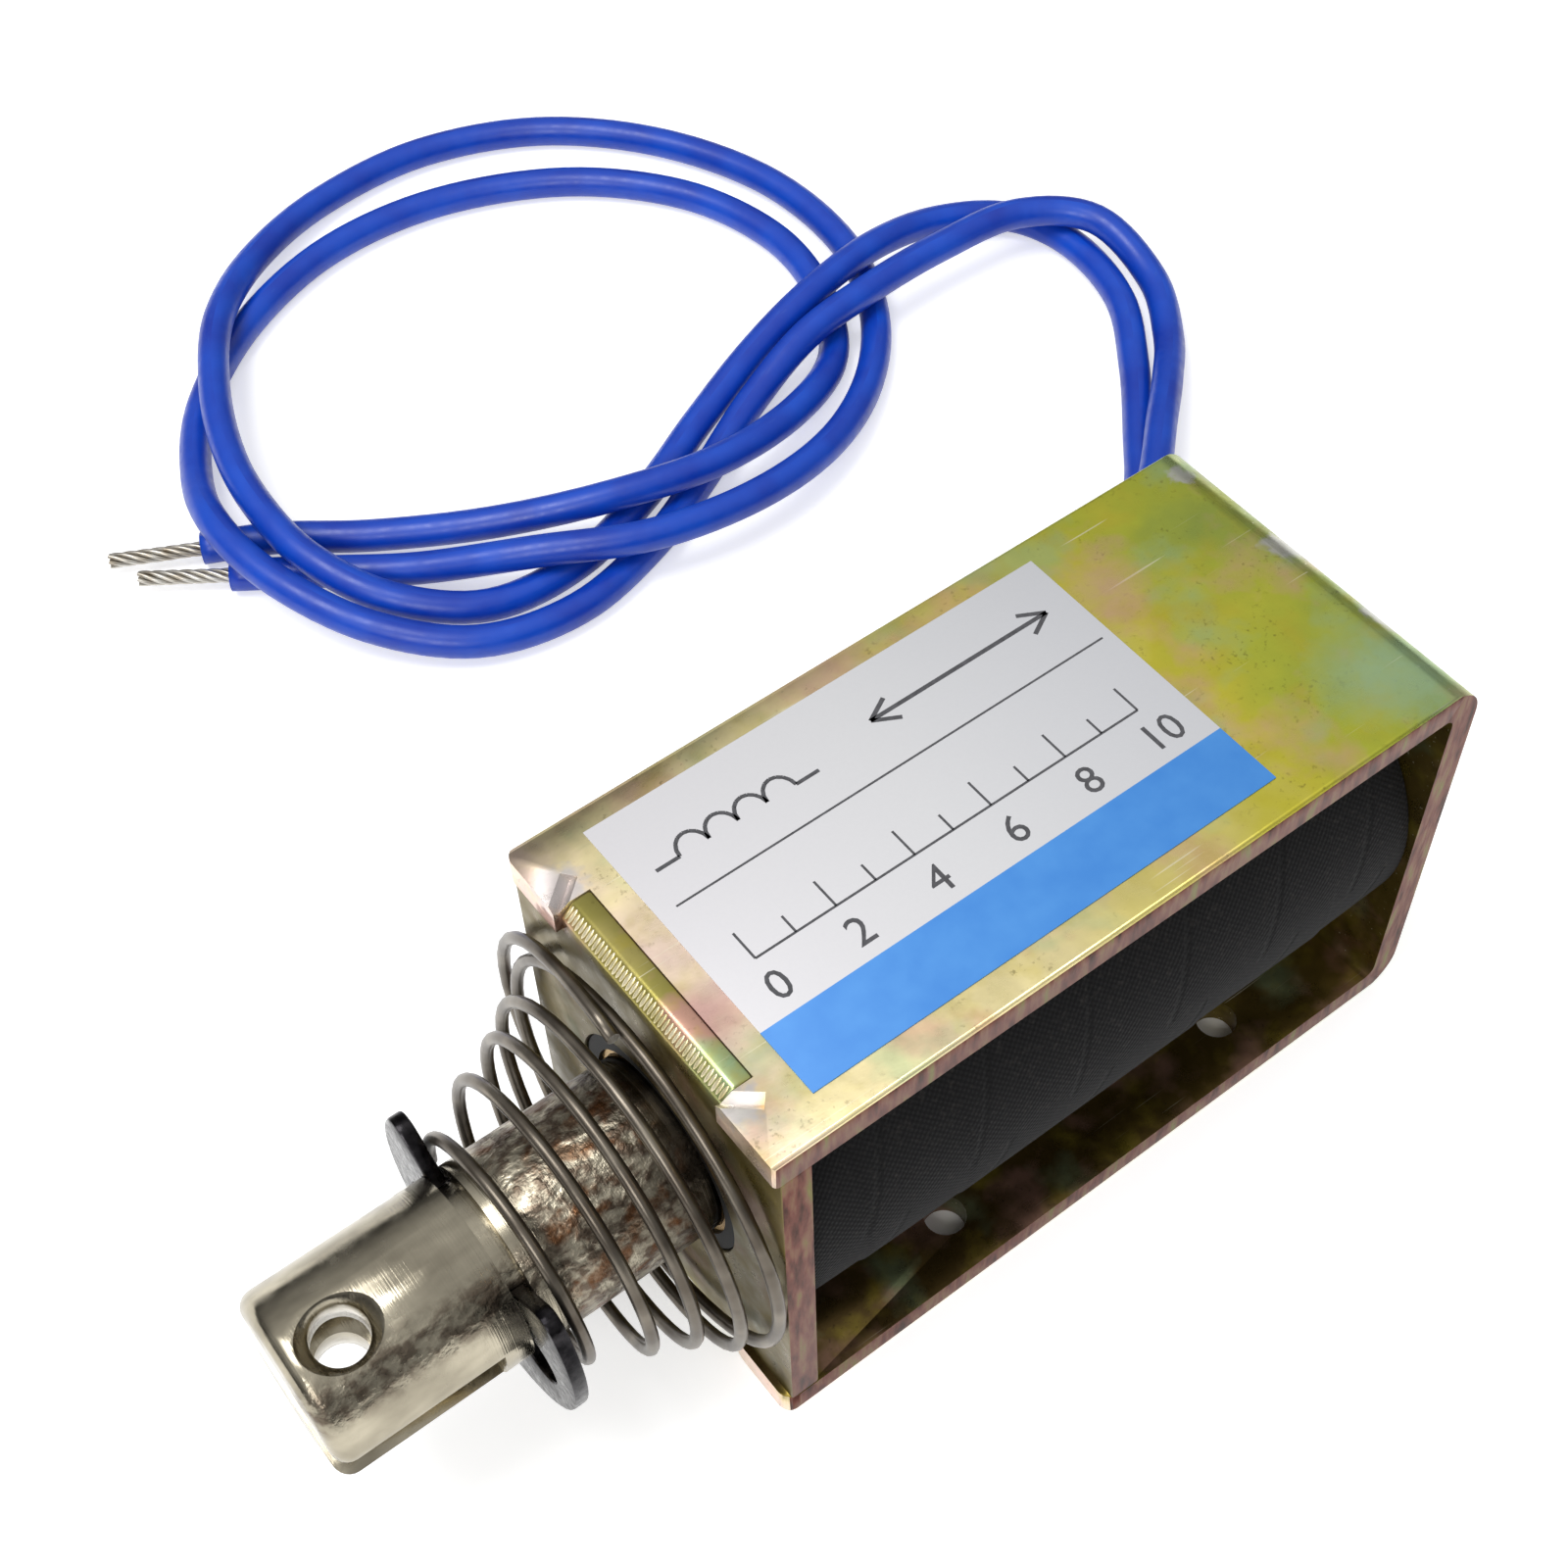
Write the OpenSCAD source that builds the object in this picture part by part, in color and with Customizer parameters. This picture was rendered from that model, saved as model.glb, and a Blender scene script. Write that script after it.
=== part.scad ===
// Open-frame push pull solenoid, in millimetres.
// A bent steel yoke and a front plate hold a taped coil. A plunger slides in a brass
// tube, held out by a conical spring, and its clevis pulls while a rod at the back pushes.
// The modules are drawn from the front edge of the yoke's legs (x = 0), on the middle of
// its width (y = 0) and from its base (z = 0). placed() then moves every piece so that
// the origin is the middle of the base's hole pattern.

/* [Frame] */
// Length of the yoke, from the legs' front edges to the rear face
body_l = 64; // [58:0.5:76]
// Width of the yoke and the front plate
body_w = 31; // [29:0.5:38]
// Height over both legs
body_h = 39; // [37:0.5:46]
// Thickness of the steel sheet
sheet_t = 2.5; // [2:0.1:3]
// Outer radius of the yoke's two bends
bend_r = 3.5; // [2.8:0.1:5]
// Width of the plate's tabs and of the notches that hold them
tab_w = 18.4; // [14:0.2:20]
// How far the front plate stands back from the legs' front edges
plate_back = 0.5; // [0.3:0.1:1]
// Rounding along the yoke's long outer edges
edge_r = 0.4; // [0.2:0.1:0.8]
// Rounding of the ears' corners
ear_r = 1.2; // [0.5:0.1:2.5]

/* [Base holes] */
// From the legs' front edges to the first pair of holes
hole_front = 19.1; // [15:0.1:25]
// Distance between the pairs, along the length
hole_pitch_x = 29; // [24:0.5:34]
// Distance between the holes of a pair, across the width
hole_pitch_y = 21.6; // [20:0.2:24]
// Diameter of the base holes
hole_d = 3.4; // [2.8:0.1:4]

/* [Coil] */
// Diameter over the tape, at the middle of the coil
coil_d = 30.8; // [28:0.2:32]
// Diameter of the plate's bore, which holds the bobbin's nose
plate_bore_d = 18.4; // [17.5:0.1:19.5]

/* [Plunger] */
// Diameter of the plunger
plunger_d = 14.5; // [13.5:0.1:15]
// How far the clevis tip stands in front of the legs at rest
tip_out = 30.1; // [27:0.1:34]
// Rounding of the clevis tip's rim
tip_r = 1.3; // [0.5:0.1:2]
// Travel of the plunger
stroke = 10; // [6:0.5:11]
// Width of the clevis slot
slot_w = 5; // [4:0.1:6]
// Depth of the clevis slot
slot_depth = 12.9; // [9:0.1:13]
// Diameter of the cross hole for the linkage pin
cross_d = 4.2; // [3:0.1:4.6]
// Distance of the cross hole from the tip
cross_from_tip = 4.3; // [3.8:0.1:5]
// Turn of the clevis about the plunger's axis, in degrees
clevis_turn = 15; // [0:5:90]
// Diameter of the push rod at the back
rod_d = 4; // [3:0.1:5]
// How far the push rod stands out behind the yoke at rest
rod_out = 6; // [4:0.5:12]

/* [Spring and clip] */
// Diameter of the spring wire
wire_d = 1; // [0.8:0.1:1.2]
// Diameter of the clip that carries the spring
clip_d = 24; // [20:0.5:26]
// Thickness of the clip
clip_t = 1.2; // [1:0.1:1.4]
// Radius of the spring's big end, to the middle of the wire
spring_end_r = 16.1; // [15:0.1:16.5]

/* [Leads] */
// Diameter of a lead over its insulation
lead_d = 3.2; // [2.4:0.1:3.2]

/* [Hidden] */
$fn = 96;
axis_z = body_h / 2;               // height of the plunger's axis
base_mid_x = hole_front + hole_pitch_x / 2;
bend_in = bend_r - sheet_t;        // inner radius of the bends
plate_x0 = plate_back;             // front face of the plate
plate_x1 = plate_x0 + sheet_t;     // rear face of the plate
rear_x0 = body_l - sheet_t;        // inner face of the rear leg
notch_gap = 0.05;                  // play between tab and notch

plunger_r = plunger_d / 2;
slide_gap = 0.06;                  // radial play of the plunger in its tube
tube_ri = plunger_r + slide_gap;
tube_ro = tube_ri + 0.45;
bore_r = plate_bore_d / 2;
nose_ro = bore_r - 0.1;
bobbin_ri = tube_ro + 0.05;
bobbin_ro = bobbin_ri + 1;
flange_t = 1.2;
flange_x0 = plate_x1 + 0.1;        // front flange
flange_x1 = rear_x0 - 0.1;         // end of the rear flange
coil_r = coil_d / 2;
tape_t = 0.6;
flange_r = coil_r - tape_t - 0.3;
wind_r = flange_r - 0.1;

core_len = 23.5;
core_x0 = rear_x0 - core_len;      // front face of the fixed core
core_r = plunger_r;
cone_len = 6;
cone_tip_r = 3.8;
rod_seat = 8;                      // length of the rod inside the plunger
air_left = 0.6;                    // gap that is left at the end of the stroke
spigot_r = 5;
stake_h = 0.9;                     // the spigot's end is spread into a cone in the leg
stake_w = 0.6;
rod_r = rod_d / 2;
rod_gap = 0.08;
shoulder_x = core_x0 - stroke - air_left;
tip_x = -tip_out;

// the clip's groove stands so that the spring is home when the stroke is used up
groove_x0 = -(stroke + 5);
groove_w = clip_t + 0.2;
groove_r = plunger_r - 1.25;
clip_x0 = groove_x0 + 0.1;
clip_r = clip_d / 2;
clip_seat_r = groove_r + 0.05;
clip_open = 52;                    // half angle of the clip's mouth
spring_x0 = clip_x0 + clip_t + wire_d / 2 + 0.1;
spring_x1 = plate_x0 - wire_d / 2 - 0.02;
spring_small = plunger_r + 1.6;
spring_big = min(spring_end_r, axis_z - sheet_t - wire_d / 2 - 0.2);
spring_side = 0.15;                // the spring sits this far to the wire side

// the turns of the spring as [turns from the clip, share of the growth in radius,
// share of the length]. The last turn springs outwards past the plate's edge.
spring_turn = [
  [0.0, 0.00, 0.00], [0.5, 0.11, 0.06], [0.75, 0.19, 0.16], [1.0, 0.32, 0.31],
  [1.5, 0.39, 0.365], [2.0, 0.515, 0.57], [2.5, 0.57, 0.585], [3.0, 0.72, 0.745],
  [3.5, 0.82, 0.77], [4.0, 1.005, 0.95], [4.5, 0.98, 0.965], [4.75, 1.065, 0.955],
  [5.05, 1.34, 0.975], [5.25, 1.065, 0.88]
];
spring_ring = 24;                  // rings in each turn

label_x0 = 5.3;
label_l = 40.7;
label_w = 26;
label_y = 0.4;
label_t = 0.12;

tape_ramp = 0.4;                   // where a further turn of the tape begins or ends
tape_step = [flange_x0 + 5, flange_x0 + 14, flange_x1 - 21, flange_x1 - 8];

patch_r0 = coil_r + 0.05;
patch_r1 = coil_r + 1.85;
patch_x1 = body_l - 4;
patch_l = 12;
lead_r = lead_d / 2;
strand_r = 0.8;
strand_l = 9;

// each lead's way: out of the coil, down behind the frame and over the floor, where the
// pair is tied in one loose knot. x counts from the yoke's rear face and y from its side,
// z from the floor. The last point is the end of the insulation.
way_a = [
  [-8, patch_r1 + 0.05 - body_w / 2, axis_z], [-7.8, 5.8, axis_z - 0.3], [-6.4, 9.6, 17],
  [-2.2, 12.4, 12.2], [4.4, 13.6, 8], [12.6, 15.2, 5.6], [20.4, 21, 5.2],
  [26.4, 26.4, 4.9], [31.8, 31.2, 3.9], [37.4, 36.9, 2.6], [42, 44.5, 2.8],
  [42, 53.5, 4.8], [35.5, 59, 5.4], [25.5, 60, 5.4], [15.5, 59.5, 5.4],
  [6.5, 58.5, 4.8], [-2.5, 56, 2.6], [-11.5, 51.5, 1.8], [-21, 47, 1.7],
  [-31.5, 44.5, 1.8], [-41.5, 46.5, 2.4], [-49, 53.5, 3.6], [-53.5, 63, 5],
  [-54.5, 72.5, 5.2], [-52, 82, 3], [-46, 92, 1.8], [-36, 100, 1.7],
  [-23.5, 104.5, 1.8], [-10, 104, 1.7], [3, 98, 1.7], [12, 88, 1.7], [15.5, 76.5, 1.7],
  [14, 66, 1.8], [9, 57, 1.8], [0, 51.5, 3.6], [-11, 49.5, 5], [-22, 52, 5],
  [-32.5, 57.5, 3.6], [-42, 64.5, 2.2], [-49.5, 70.5, 1.8], [-56, 74, 1.7]
];
way_b = [
  [-11.5, patch_r1 + 0.05 - body_w / 2, axis_z], [-11.4, 6.6, axis_z - 0.2],
  [-10.2, 11.6, 16.4], [-6, 15.4, 10.9], [1.8, 17, 5.6], [11.4, 17.6, 2.3],
  [19.6, 22, 1.7], [26.1, 29, 1.7], [32.5, 36.7, 1.7], [38, 45, 1.8], [40, 54.5, 1.7],
  [37.5, 62, 2], [30, 65.5, 3.2], [20.5, 65, 5], [10.5, 63, 5.2], [1.5, 61, 3.6],
  [-8, 57.5, 2.2], [-17.5, 53, 1.8], [-28, 49.5, 1.7], [-38, 50, 2],
  [-45.5, 55.5, 3.4], [-49.5, 63.5, 5], [-50, 72.5, 5.4], [-48.5, 81, 5.4],
  [-45, 90, 5.4], [-39.5, 99, 5], [-31, 107, 3.2], [-20, 112, 2], [-7, 112.5, 1.8],
  [5.5, 107.5, 1.7], [15, 97.5, 1.7], [20.5, 84.5, 1.8], [21, 71.5, 1.7],
  [17, 60.5, 1.8], [10, 52, 2.2], [0.5, 46, 3.4], [-10.5, 43.5, 4.8], [-22, 45, 5.4],
  [-32, 50.5, 5], [-41, 57.5, 2.8], [-48.5, 64, 1.8], [-55.5, 69, 1.8]
];
way_shift = [body_l, body_w / 2, 0];
lead_sides = 8;

// ---- helpers ----

module placed() translate([-base_mid_x, 0, 0]) children();

// what is drawn round Z goes round the plunger's axis, from x0 backwards
module along_x(x0) translate([x0, 0, axis_z]) rotate([0, 90, 0]) children();

module ring(x0, x1, ri, ro) along_x(x0)
  difference() {
    cylinder(h = x1 - x0, r = ro);
    translate([0, 0, -1]) cylinder(h = x1 - x0 + 2, r = ri);
  }

// a turned piece, from its outline as [radius, x] points
module turned(outline) along_x(0) rotate_extrude() polygon(outline);

function unit(v) = v / norm(v);

// the direction of a way at its point i
function heading(way, i) = unit(way[min(i + 1, len(way) - 1)] - way[max(i - 1, 0)]);

// one ring of a tube: its corners lie across the way's direction
function way_ring(way, i, r) =
  let (t = heading(way, i), side = unit(cross(t, [0, 0, 1])), up = cross(side, t))
  [for (k = [0:lead_sides - 1]) let (a = 360 * k / lead_sides)
    way[i] + r * (cos(a) * side + sin(a) * up)];

// triangles round a tube of n rings with m corners each, with flat ends
function tube_faces(n, m) = concat(
  [[for (k = [0:m - 1]) k]],
  [for (i = [0:n - 2]) for (k = [0:m - 1]) let (a = i * m + k, b = i * m + (k + 1) % m)
    [a, a + m, b + m, b]],
  [[for (k = [m - 1:-1:0]) (n - 1) * m + k]]
);

module tube_along(way, r) polyhedron(
  points = [for (i = [0:len(way) - 1]) for (p = way_ring(way, i, r)) p],
  faces = tube_faces(len(way), lead_sides), convexity = 10);

// ---- the frame ----

module rounded_side(x1, z0, z1, r) {
  square_h = z1 - z0;
  translate([0, z0]) square([x1 - r, square_h]);
  translate([x1 - r - 1, z0 + r]) square([r + 1, square_h - 2 * r]);
  translate([x1 - r, z0 + r]) circle(r = r);
  translate([x1 - r, z1 - r]) circle(r = r);
}

module notch(z0) translate([-1, -tab_w / 2 - notch_gap, z0])
  cube([plate_x1 + notch_gap + 1, tab_w + 2 * notch_gap, sheet_t + 2]);

// chisel marks across the ears' inner corners, where they are struck over the plate
module stake_marks(z) for (s = [-1, 1])
  translate([plate_x0 + 0.4, s * (tab_w / 2 + 0.5), z]) rotate([0, 0, s * 40])
    rotate([45, 0, 0]) cube([4.4, 0.9, 0.9], center = true);

// the strip's outline from the front, with its long outer edges broken
module rounded_front() difference() {
  translate([-body_h / 2, -body_w / 2]) square([body_h, body_w]);
  for (m = [-1, 1]) for (n = [-1, 1]) translate([m * body_h / 2, n * body_w / 2])
    difference() {
      square(2 * edge_r, center = true);
      translate([-m * edge_r, -n * edge_r]) circle(r = edge_r, $fn = 32);
    }
}

// rounds one ear's corner at the side s, over the leg that starts at z0
module ear_corner(s, z0, r) translate([0, s * body_w / 2, z0 - 1])
  linear_extrude(height = sheet_t + 2) difference() {
    square(2 * r, center = true);
    translate([r, -s * r]) circle(r = r, $fn = 64);
  }

module yoke_frame() placed() color("#b5a23c")
  difference() {
    intersection() {
      rotate([90, 0, 0]) linear_extrude(height = body_w, center = true)
        difference() {
          rounded_side(body_l, 0, body_h, bend_r);
          translate([-1, 0]) rounded_side(rear_x0 + 1, sheet_t, body_h - sheet_t, bend_in);
        }
      along_x(-1) linear_extrude(height = body_l + 2) rounded_front();
    }
    ear_corner(1, body_h - sheet_t, ear_r);
    ear_corner(-1, body_h - sheet_t, edge_r);
    ear_corner(1, 0, ear_r);
    ear_corner(-1, 0, ear_r);
    notch(-1);
    notch(body_h - sheet_t - 1);
    stake_marks(0);
    stake_marks(body_h);
    for (i = [0, 1]) for (s = [-1, 1])
      translate([hole_front + i * hole_pitch_x, s * hole_pitch_y / 2, -1])
        cylinder(h = sheet_t + 2, r = hole_d / 2);
    along_x(rear_x0 - 1) cylinder(h = sheet_t + 2, r = spigot_r + 0.01);
    along_x(body_l - stake_h)
      cylinder(h = stake_h + 1, r1 = spigot_r + 0.01, r2 = spigot_r + 0.01 + stake_w * (1 + 1 / stake_h));
  }

// the tabs' front edges slope back, as the press leaves them
module tab_slope(z, s) rotate([90, 0, 0]) linear_extrude(height = body_w, center = true)
  polygon([[plate_x0 - 1, z - s * 1], [plate_x0, z - s * 1], [plate_x0 + 1.05, z],
    [plate_x0 + 1.05, z + s * 1], [plate_x0 - 1, z + s * 1]]);

module front_plate() placed() color("#a5903a")
  difference() {
    union() {
      translate([plate_x0, -body_w / 2, sheet_t])
        cube([sheet_t, body_w, body_h - 2 * sheet_t]);
      translate([plate_x0, -tab_w / 2, 0]) cube([sheet_t, tab_w, body_h]);
    }
    along_x(plate_x0 - 1) cylinder(h = sheet_t + 2, r = bore_r);
    tab_slope(body_h, 1);
    tab_slope(0, -1);
  }

// ---- the coil ----

module bobbin() placed() color("#1c1c1c")
  turned([
    [bobbin_ri, plate_x0 + 0.3], [nose_ro, plate_x0 + 0.3], [nose_ro, flange_x0],
    [flange_r, flange_x0], [flange_r, flange_x0 + flange_t],
    [bobbin_ro, flange_x0 + flange_t], [bobbin_ro, flange_x1 - flange_t],
    [flange_r, flange_x1 - flange_t], [flange_r, flange_x1], [bobbin_ri, flange_x1]
  ]);

module coil_winding() placed() color("#a3542a")
  ring(flange_x0 + flange_t + 0.05, flange_x1 - flange_t - 0.05, bobbin_ro + 0.05, wind_r);

// the tape is wound in steps, so the coil is fullest at the middle
module coil_tape() placed() color("#17171a")
  turned([
    [flange_r + 0.05, flange_x0], [coil_r - 0.5, flange_x0],
    [coil_r - 0.35, tape_step[0]], [coil_r - 0.2, tape_step[0] + tape_ramp],
    [coil_r - 0.1, tape_step[1]], [coil_r, tape_step[1] + tape_ramp],
    [coil_r, tape_step[2] - tape_ramp], [coil_r - 0.12, tape_step[2]],
    [coil_r - 0.12, tape_step[3] - tape_ramp], [coil_r - 0.25, tape_step[3]],
    [coil_r - 0.4, flange_x1], [flange_r + 0.05, flange_x1]
  ]);

module guide_tube() placed() color("#c79a3f")
  ring(plate_x0 + 0.6, rear_x0 - 0.3, tube_ri, tube_ro);

module fixed_core() placed() color("#8d8f92")
  difference() {
    union() {
      along_x(core_x0) cylinder(h = core_len, r = core_r);
      along_x(rear_x0) cylinder(h = sheet_t, r = spigot_r);
      along_x(body_l - stake_h) cylinder(h = stake_h, r1 = spigot_r, r2 = spigot_r + stake_w);
    }
    along_x(body_l - 0.3) difference() {
      cylinder(h = 1, r = spigot_r - 0.5);
      translate([0, 0, -1]) cylinder(h = 3, r = spigot_r - 1.3);
    }
    turned([
      [0, core_x0 - 1], [plunger_r - 0.25, core_x0 - 1], [plunger_r - 0.25, core_x0],
      [cone_tip_r, core_x0 + cone_len], [0, core_x0 + cone_len]
    ]);
    along_x(core_x0) cylinder(h = core_len + sheet_t + 1, r = rod_r + rod_gap);
  }

module residual_washer() placed() color("#e8e4d8")
  ring(core_x0 + cone_len - 0.5, core_x0 + cone_len, rod_r + 0.3, cone_tip_r - 0.1);

// the taped pad over the two splices, where the leads come out
module splice_patch() placed() color("#17171a")
  along_x(patch_x1 - patch_l) rotate([0, 0, 58]) rotate_extrude(angle = 64)
    translate([patch_r0, 0]) square([patch_r1 - patch_r0, patch_l]);

module rating_label() placed() color("#c9cacf")
  translate([label_x0, label_y - label_w / 2, body_h]) cube([label_l, label_w, label_t]);

// ---- the leads ----

module lead_tube(way) translate(way_shift) tube_along(way, lead_r);

// the bare twisted end goes on in the lead's last direction, level over the floor
module strand_end(way) {
  tip = way[len(way) - 1];
  d = tip - way[len(way) - 2];
  translate(way_shift + [tip[0], tip[1], 1.4]) rotate([0, 0, atan2(d[1], d[0])])
    rotate([0, 90, 0]) cylinder(h = strand_l, r = strand_r, $fn = 24);
}

module lead_a() placed() color("#1140b8") lead_tube(way_a);
module lead_b() placed() color("#1140b8") lead_tube(way_b);
module lead_a_strands() placed() color("#c9c4ba") strand_end(way_a);
module lead_b_strands() placed() color("#c9c4ba") strand_end(way_b);

// ---- what moves ----

// the slot and the cross hole stand square to each other and turn with the clevis
module clevis_cuts() translate([tip_x, 0, axis_z]) rotate([clevis_turn, 0, 0]) {
  slot_l = min(slot_depth, groove_x0 - 1.4 - tip_x);
  translate([-1, -plunger_d, -slot_w / 2]) cube([slot_l + 1, 2 * plunger_d, slot_w]);
  translate([cross_from_tip, 0, -plunger_d]) cylinder(h = 2 * plunger_d, r = cross_d / 2);
  for (m = [0, 1]) mirror([0, 0, m])
    translate([cross_from_tip, 0, plunger_r - 1.3])
      cylinder(h = 2, r1 = cross_d / 2 - 0.3, r2 = cross_d / 2 + 1.7);
}

module plunger() placed() color("#b8b2a4")
  difference() {
    turned([
      [0, tip_x], for (a = [0:15:90]) [plunger_r - tip_r * (1 - sin(a)), tip_x + tip_r * (1 - cos(a))],
      [plunger_r, groove_x0], [groove_r, groove_x0], [groove_r, groove_x0 + groove_w],
      [plunger_r, groove_x0 + groove_w], [plunger_r, shoulder_x - 0.3],
      [plunger_r - 0.3, shoulder_x], [cone_tip_r, shoulder_x + cone_len],
      [0, shoulder_x + cone_len]
    ]);
    clevis_cuts();
    along_x(shoulder_x + cone_len - rod_seat) cylinder(h = rod_seat + 1, r = rod_r + 0.01);
  }

// the push rod carries the groove of the clip that stops the plunger from coming out
rear_groove_x0 = body_l + 0.95;
module push_rod() placed() color("#9b9c9e")
  turned([
    [0, shoulder_x + cone_len - rod_seat], [rod_r, shoulder_x + cone_len - rod_seat],
    [rod_r, rear_groove_x0], [rod_r - 0.55, rear_groove_x0],
    [rod_r - 0.55, rear_groove_x0 + 0.9], [rod_r, rear_groove_x0 + 0.9],
    [rod_r, body_l + rod_out - 0.4], [rod_r - 0.4, body_l + rod_out],
    [0, body_l + rod_out]
  ]);

// what rounds the outer corner of a clip's prong, on the side s of its mouth
module prong_corner(s, ro, r) {
  along = [-cos(clip_open), s * sin(clip_open)];
  into = [sin(clip_open), s * cos(clip_open)];
  c = along * sqrt(pow(ro - r, 2) - r * r) + into * r;
  difference() {
    polygon([c, c + 2 * r * unit(c), c + 2 * r * (unit(c) - into), c - 2 * r * into]);
    translate(c) circle(r = r, $fn = 48);
  }
}

// a clip pushed on from the side: a mouth, a seat and two relief pockets. Its mouth
// faces up.
module e_shape(ro, seat, pocket_at, pocket_r) difference() {
  circle(r = ro);
  for (s = [-1, 1]) prong_corner(s, ro, ro / 8);
  circle(r = seat);
  polygon([[0, 0], 2 * ro * [-cos(clip_open), -sin(clip_open)],
    2 * ro * [-cos(clip_open), sin(clip_open)]]);
  for (s = [-1, 1]) rotate(s * 68) translate([pocket_at, 0]) circle(r = pocket_r);
}

module e_clip() placed() color("#202124")
  along_x(clip_x0) linear_extrude(height = clip_t)
    e_shape(clip_r, clip_seat_r, clip_seat_r + 1.1, 2.7);

module rear_clip() placed() color("#202124")
  along_x(rear_groove_x0 + 0.05) linear_extrude(height = 0.8)
    e_shape(4.5, rod_r - 0.53, rod_r + 0.1, 0.8);

module rear_washer() placed() color("#e8e4d8")
  ring(body_l + 0.05, body_l + 0.85, rod_r + 0.3, 5.5);

// ---- the spring ----

function spring_r(t) = spring_small
  + (spring_big - spring_small) * lookup(t, [for (k = spring_turn) [k[0], k[1]]]);
function spring_x(t) = spring_x0
  + (spring_x1 - spring_x0) * lookup(t, [for (k = spring_turn) [k[0], k[2]]]);

// one ring of the wire, in the plane through the axis
function wire_ring(t) = [for (k = [0:lead_sides - 1])
  let (a = 360 * k / lead_sides, r = spring_r(t) + wire_d / 2 * cos(a))
  [spring_x(t) + wire_d / 2 * sin(a), spring_side + r * cos(360 * t),
    axis_z + r * sin(360 * t)]];

module return_spring() placed() color("#77716a") {
  n = round(spring_ring * spring_turn[len(spring_turn) - 1][0]) + 1;
  polyhedron(
    points = [for (i = [0:n - 1]) for (p = wire_ring(i / spring_ring)) p],
    faces = tube_faces(n, lead_sides), convexity = 10);
}

yoke_frame();
front_plate();
bobbin();
coil_winding();
coil_tape();
guide_tube();
fixed_core();
residual_washer();
splice_patch();
rating_label();
lead_a();
lead_b();
lead_a_strands();
lead_b_strands();
plunger();
push_rod();
e_clip();
rear_clip();
rear_washer();
return_spring();
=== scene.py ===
"""Push pull solenoid in metres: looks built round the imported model."""
import math
from functools import partial

import bmesh
import bpy
import numpy as np
from mathutils import Matrix, Vector


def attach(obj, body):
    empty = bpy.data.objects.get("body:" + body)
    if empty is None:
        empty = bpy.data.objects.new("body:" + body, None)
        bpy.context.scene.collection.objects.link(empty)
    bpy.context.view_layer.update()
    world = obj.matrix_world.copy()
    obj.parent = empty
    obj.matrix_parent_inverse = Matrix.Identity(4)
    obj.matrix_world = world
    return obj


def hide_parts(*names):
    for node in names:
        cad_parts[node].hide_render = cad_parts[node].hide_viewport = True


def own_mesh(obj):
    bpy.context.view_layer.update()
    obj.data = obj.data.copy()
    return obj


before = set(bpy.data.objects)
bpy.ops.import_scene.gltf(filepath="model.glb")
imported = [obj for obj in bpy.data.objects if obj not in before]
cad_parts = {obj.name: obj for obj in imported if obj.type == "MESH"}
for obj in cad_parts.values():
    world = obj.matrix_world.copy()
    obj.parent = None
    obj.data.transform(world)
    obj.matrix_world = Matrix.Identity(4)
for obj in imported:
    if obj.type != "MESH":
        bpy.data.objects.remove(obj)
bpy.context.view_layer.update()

MM = 0.001
# The solid model is drawn from the legs' front edges; the origin is the middle of the base holes.
ORIGIN_X = 33.6
BODY_L, BODY_W, BODY_H, SHEET = 64.0, 31.0, 39.0, 2.5
AXIS_Z = BODY_H / 2
TAPE_R, PATCH_R = 15.4, 17.25
LABEL_T, PRINT_T = 0.12, 0.02


def at(x, y, z):
    """A point given in millimetres from the legs' front edges, in metres from the origin."""
    return Vector((x - ORIGIN_X, y, z)) * MM


def in_scene(name, data):
    made = bpy.data.objects.new(name, data)
    bpy.context.scene.collection.objects.link(made)
    return made


# ---- camera ----

def place_camera():
    data = bpy.data.cameras.new("camera")
    data.sensor_width = 36
    data.lens = 54.08
    data.clip_start = 0.01
    data.clip_end = 20
    camera = in_scene("camera", data)
    right = Vector((0.79591, -0.60496, -0.02356)).normalized()
    back = Vector((-0.35033, -0.49195, 0.79703)).normalized()
    up = back.cross(right)
    camera.matrix_world = Matrix((
        (right.x, up.x, back.x, -0.072477),
        (right.y, up.y, back.y, -0.072767),
        (right.z, up.z, back.z, 0.170187),
        (0, 0, 0, 1)))
    bpy.context.scene.camera = camera


place_camera()


# ---- nodes ----

def srgb(text):
    """A colour written as #rrggbb, as linear red, green, blue and full alpha."""
    parts = [int(text[i:i + 2], 16) / 255 for i in (1, 3, 5)]
    return [v / 12.92 if v <= 0.04045 else ((v + 0.055) / 1.055) ** 2.4 for v in parts] + [1.0]


def add_node(tree, kind, inputs=None, stops=None, **settings):
    """Adds a node. Its inputs go by socket name or number, and each is a value, a colour as
    #rrggbb, another node's output, or a node, which stands for the first output that it uses.
    A ramp's stops are places from 0 to 1, each with a colour or a grey."""
    made = tree.nodes.new(kind)
    for key, value in settings.items():
        setattr(made, key, value)
    if stops:
        ramp = made.color_ramp
        while len(ramp.elements) < len(stops):
            ramp.elements.new(0.5)
        for element, (place, colour) in zip(ramp.elements, stops):
            element.position = place
            element.color = srgb(colour) if isinstance(colour, str) else [colour] * 3 + [1]
    for key, value in (inputs or {}).items():
        if isinstance(value, bpy.types.Node):
            value = next(socket for socket in value.outputs if socket.enabled)
        if isinstance(value, bpy.types.NodeSocket):
            tree.links.new(value, made.inputs[key])
        else:
            made.inputs[key].default_value = srgb(value) if isinstance(value, str) else value
    return made


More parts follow.
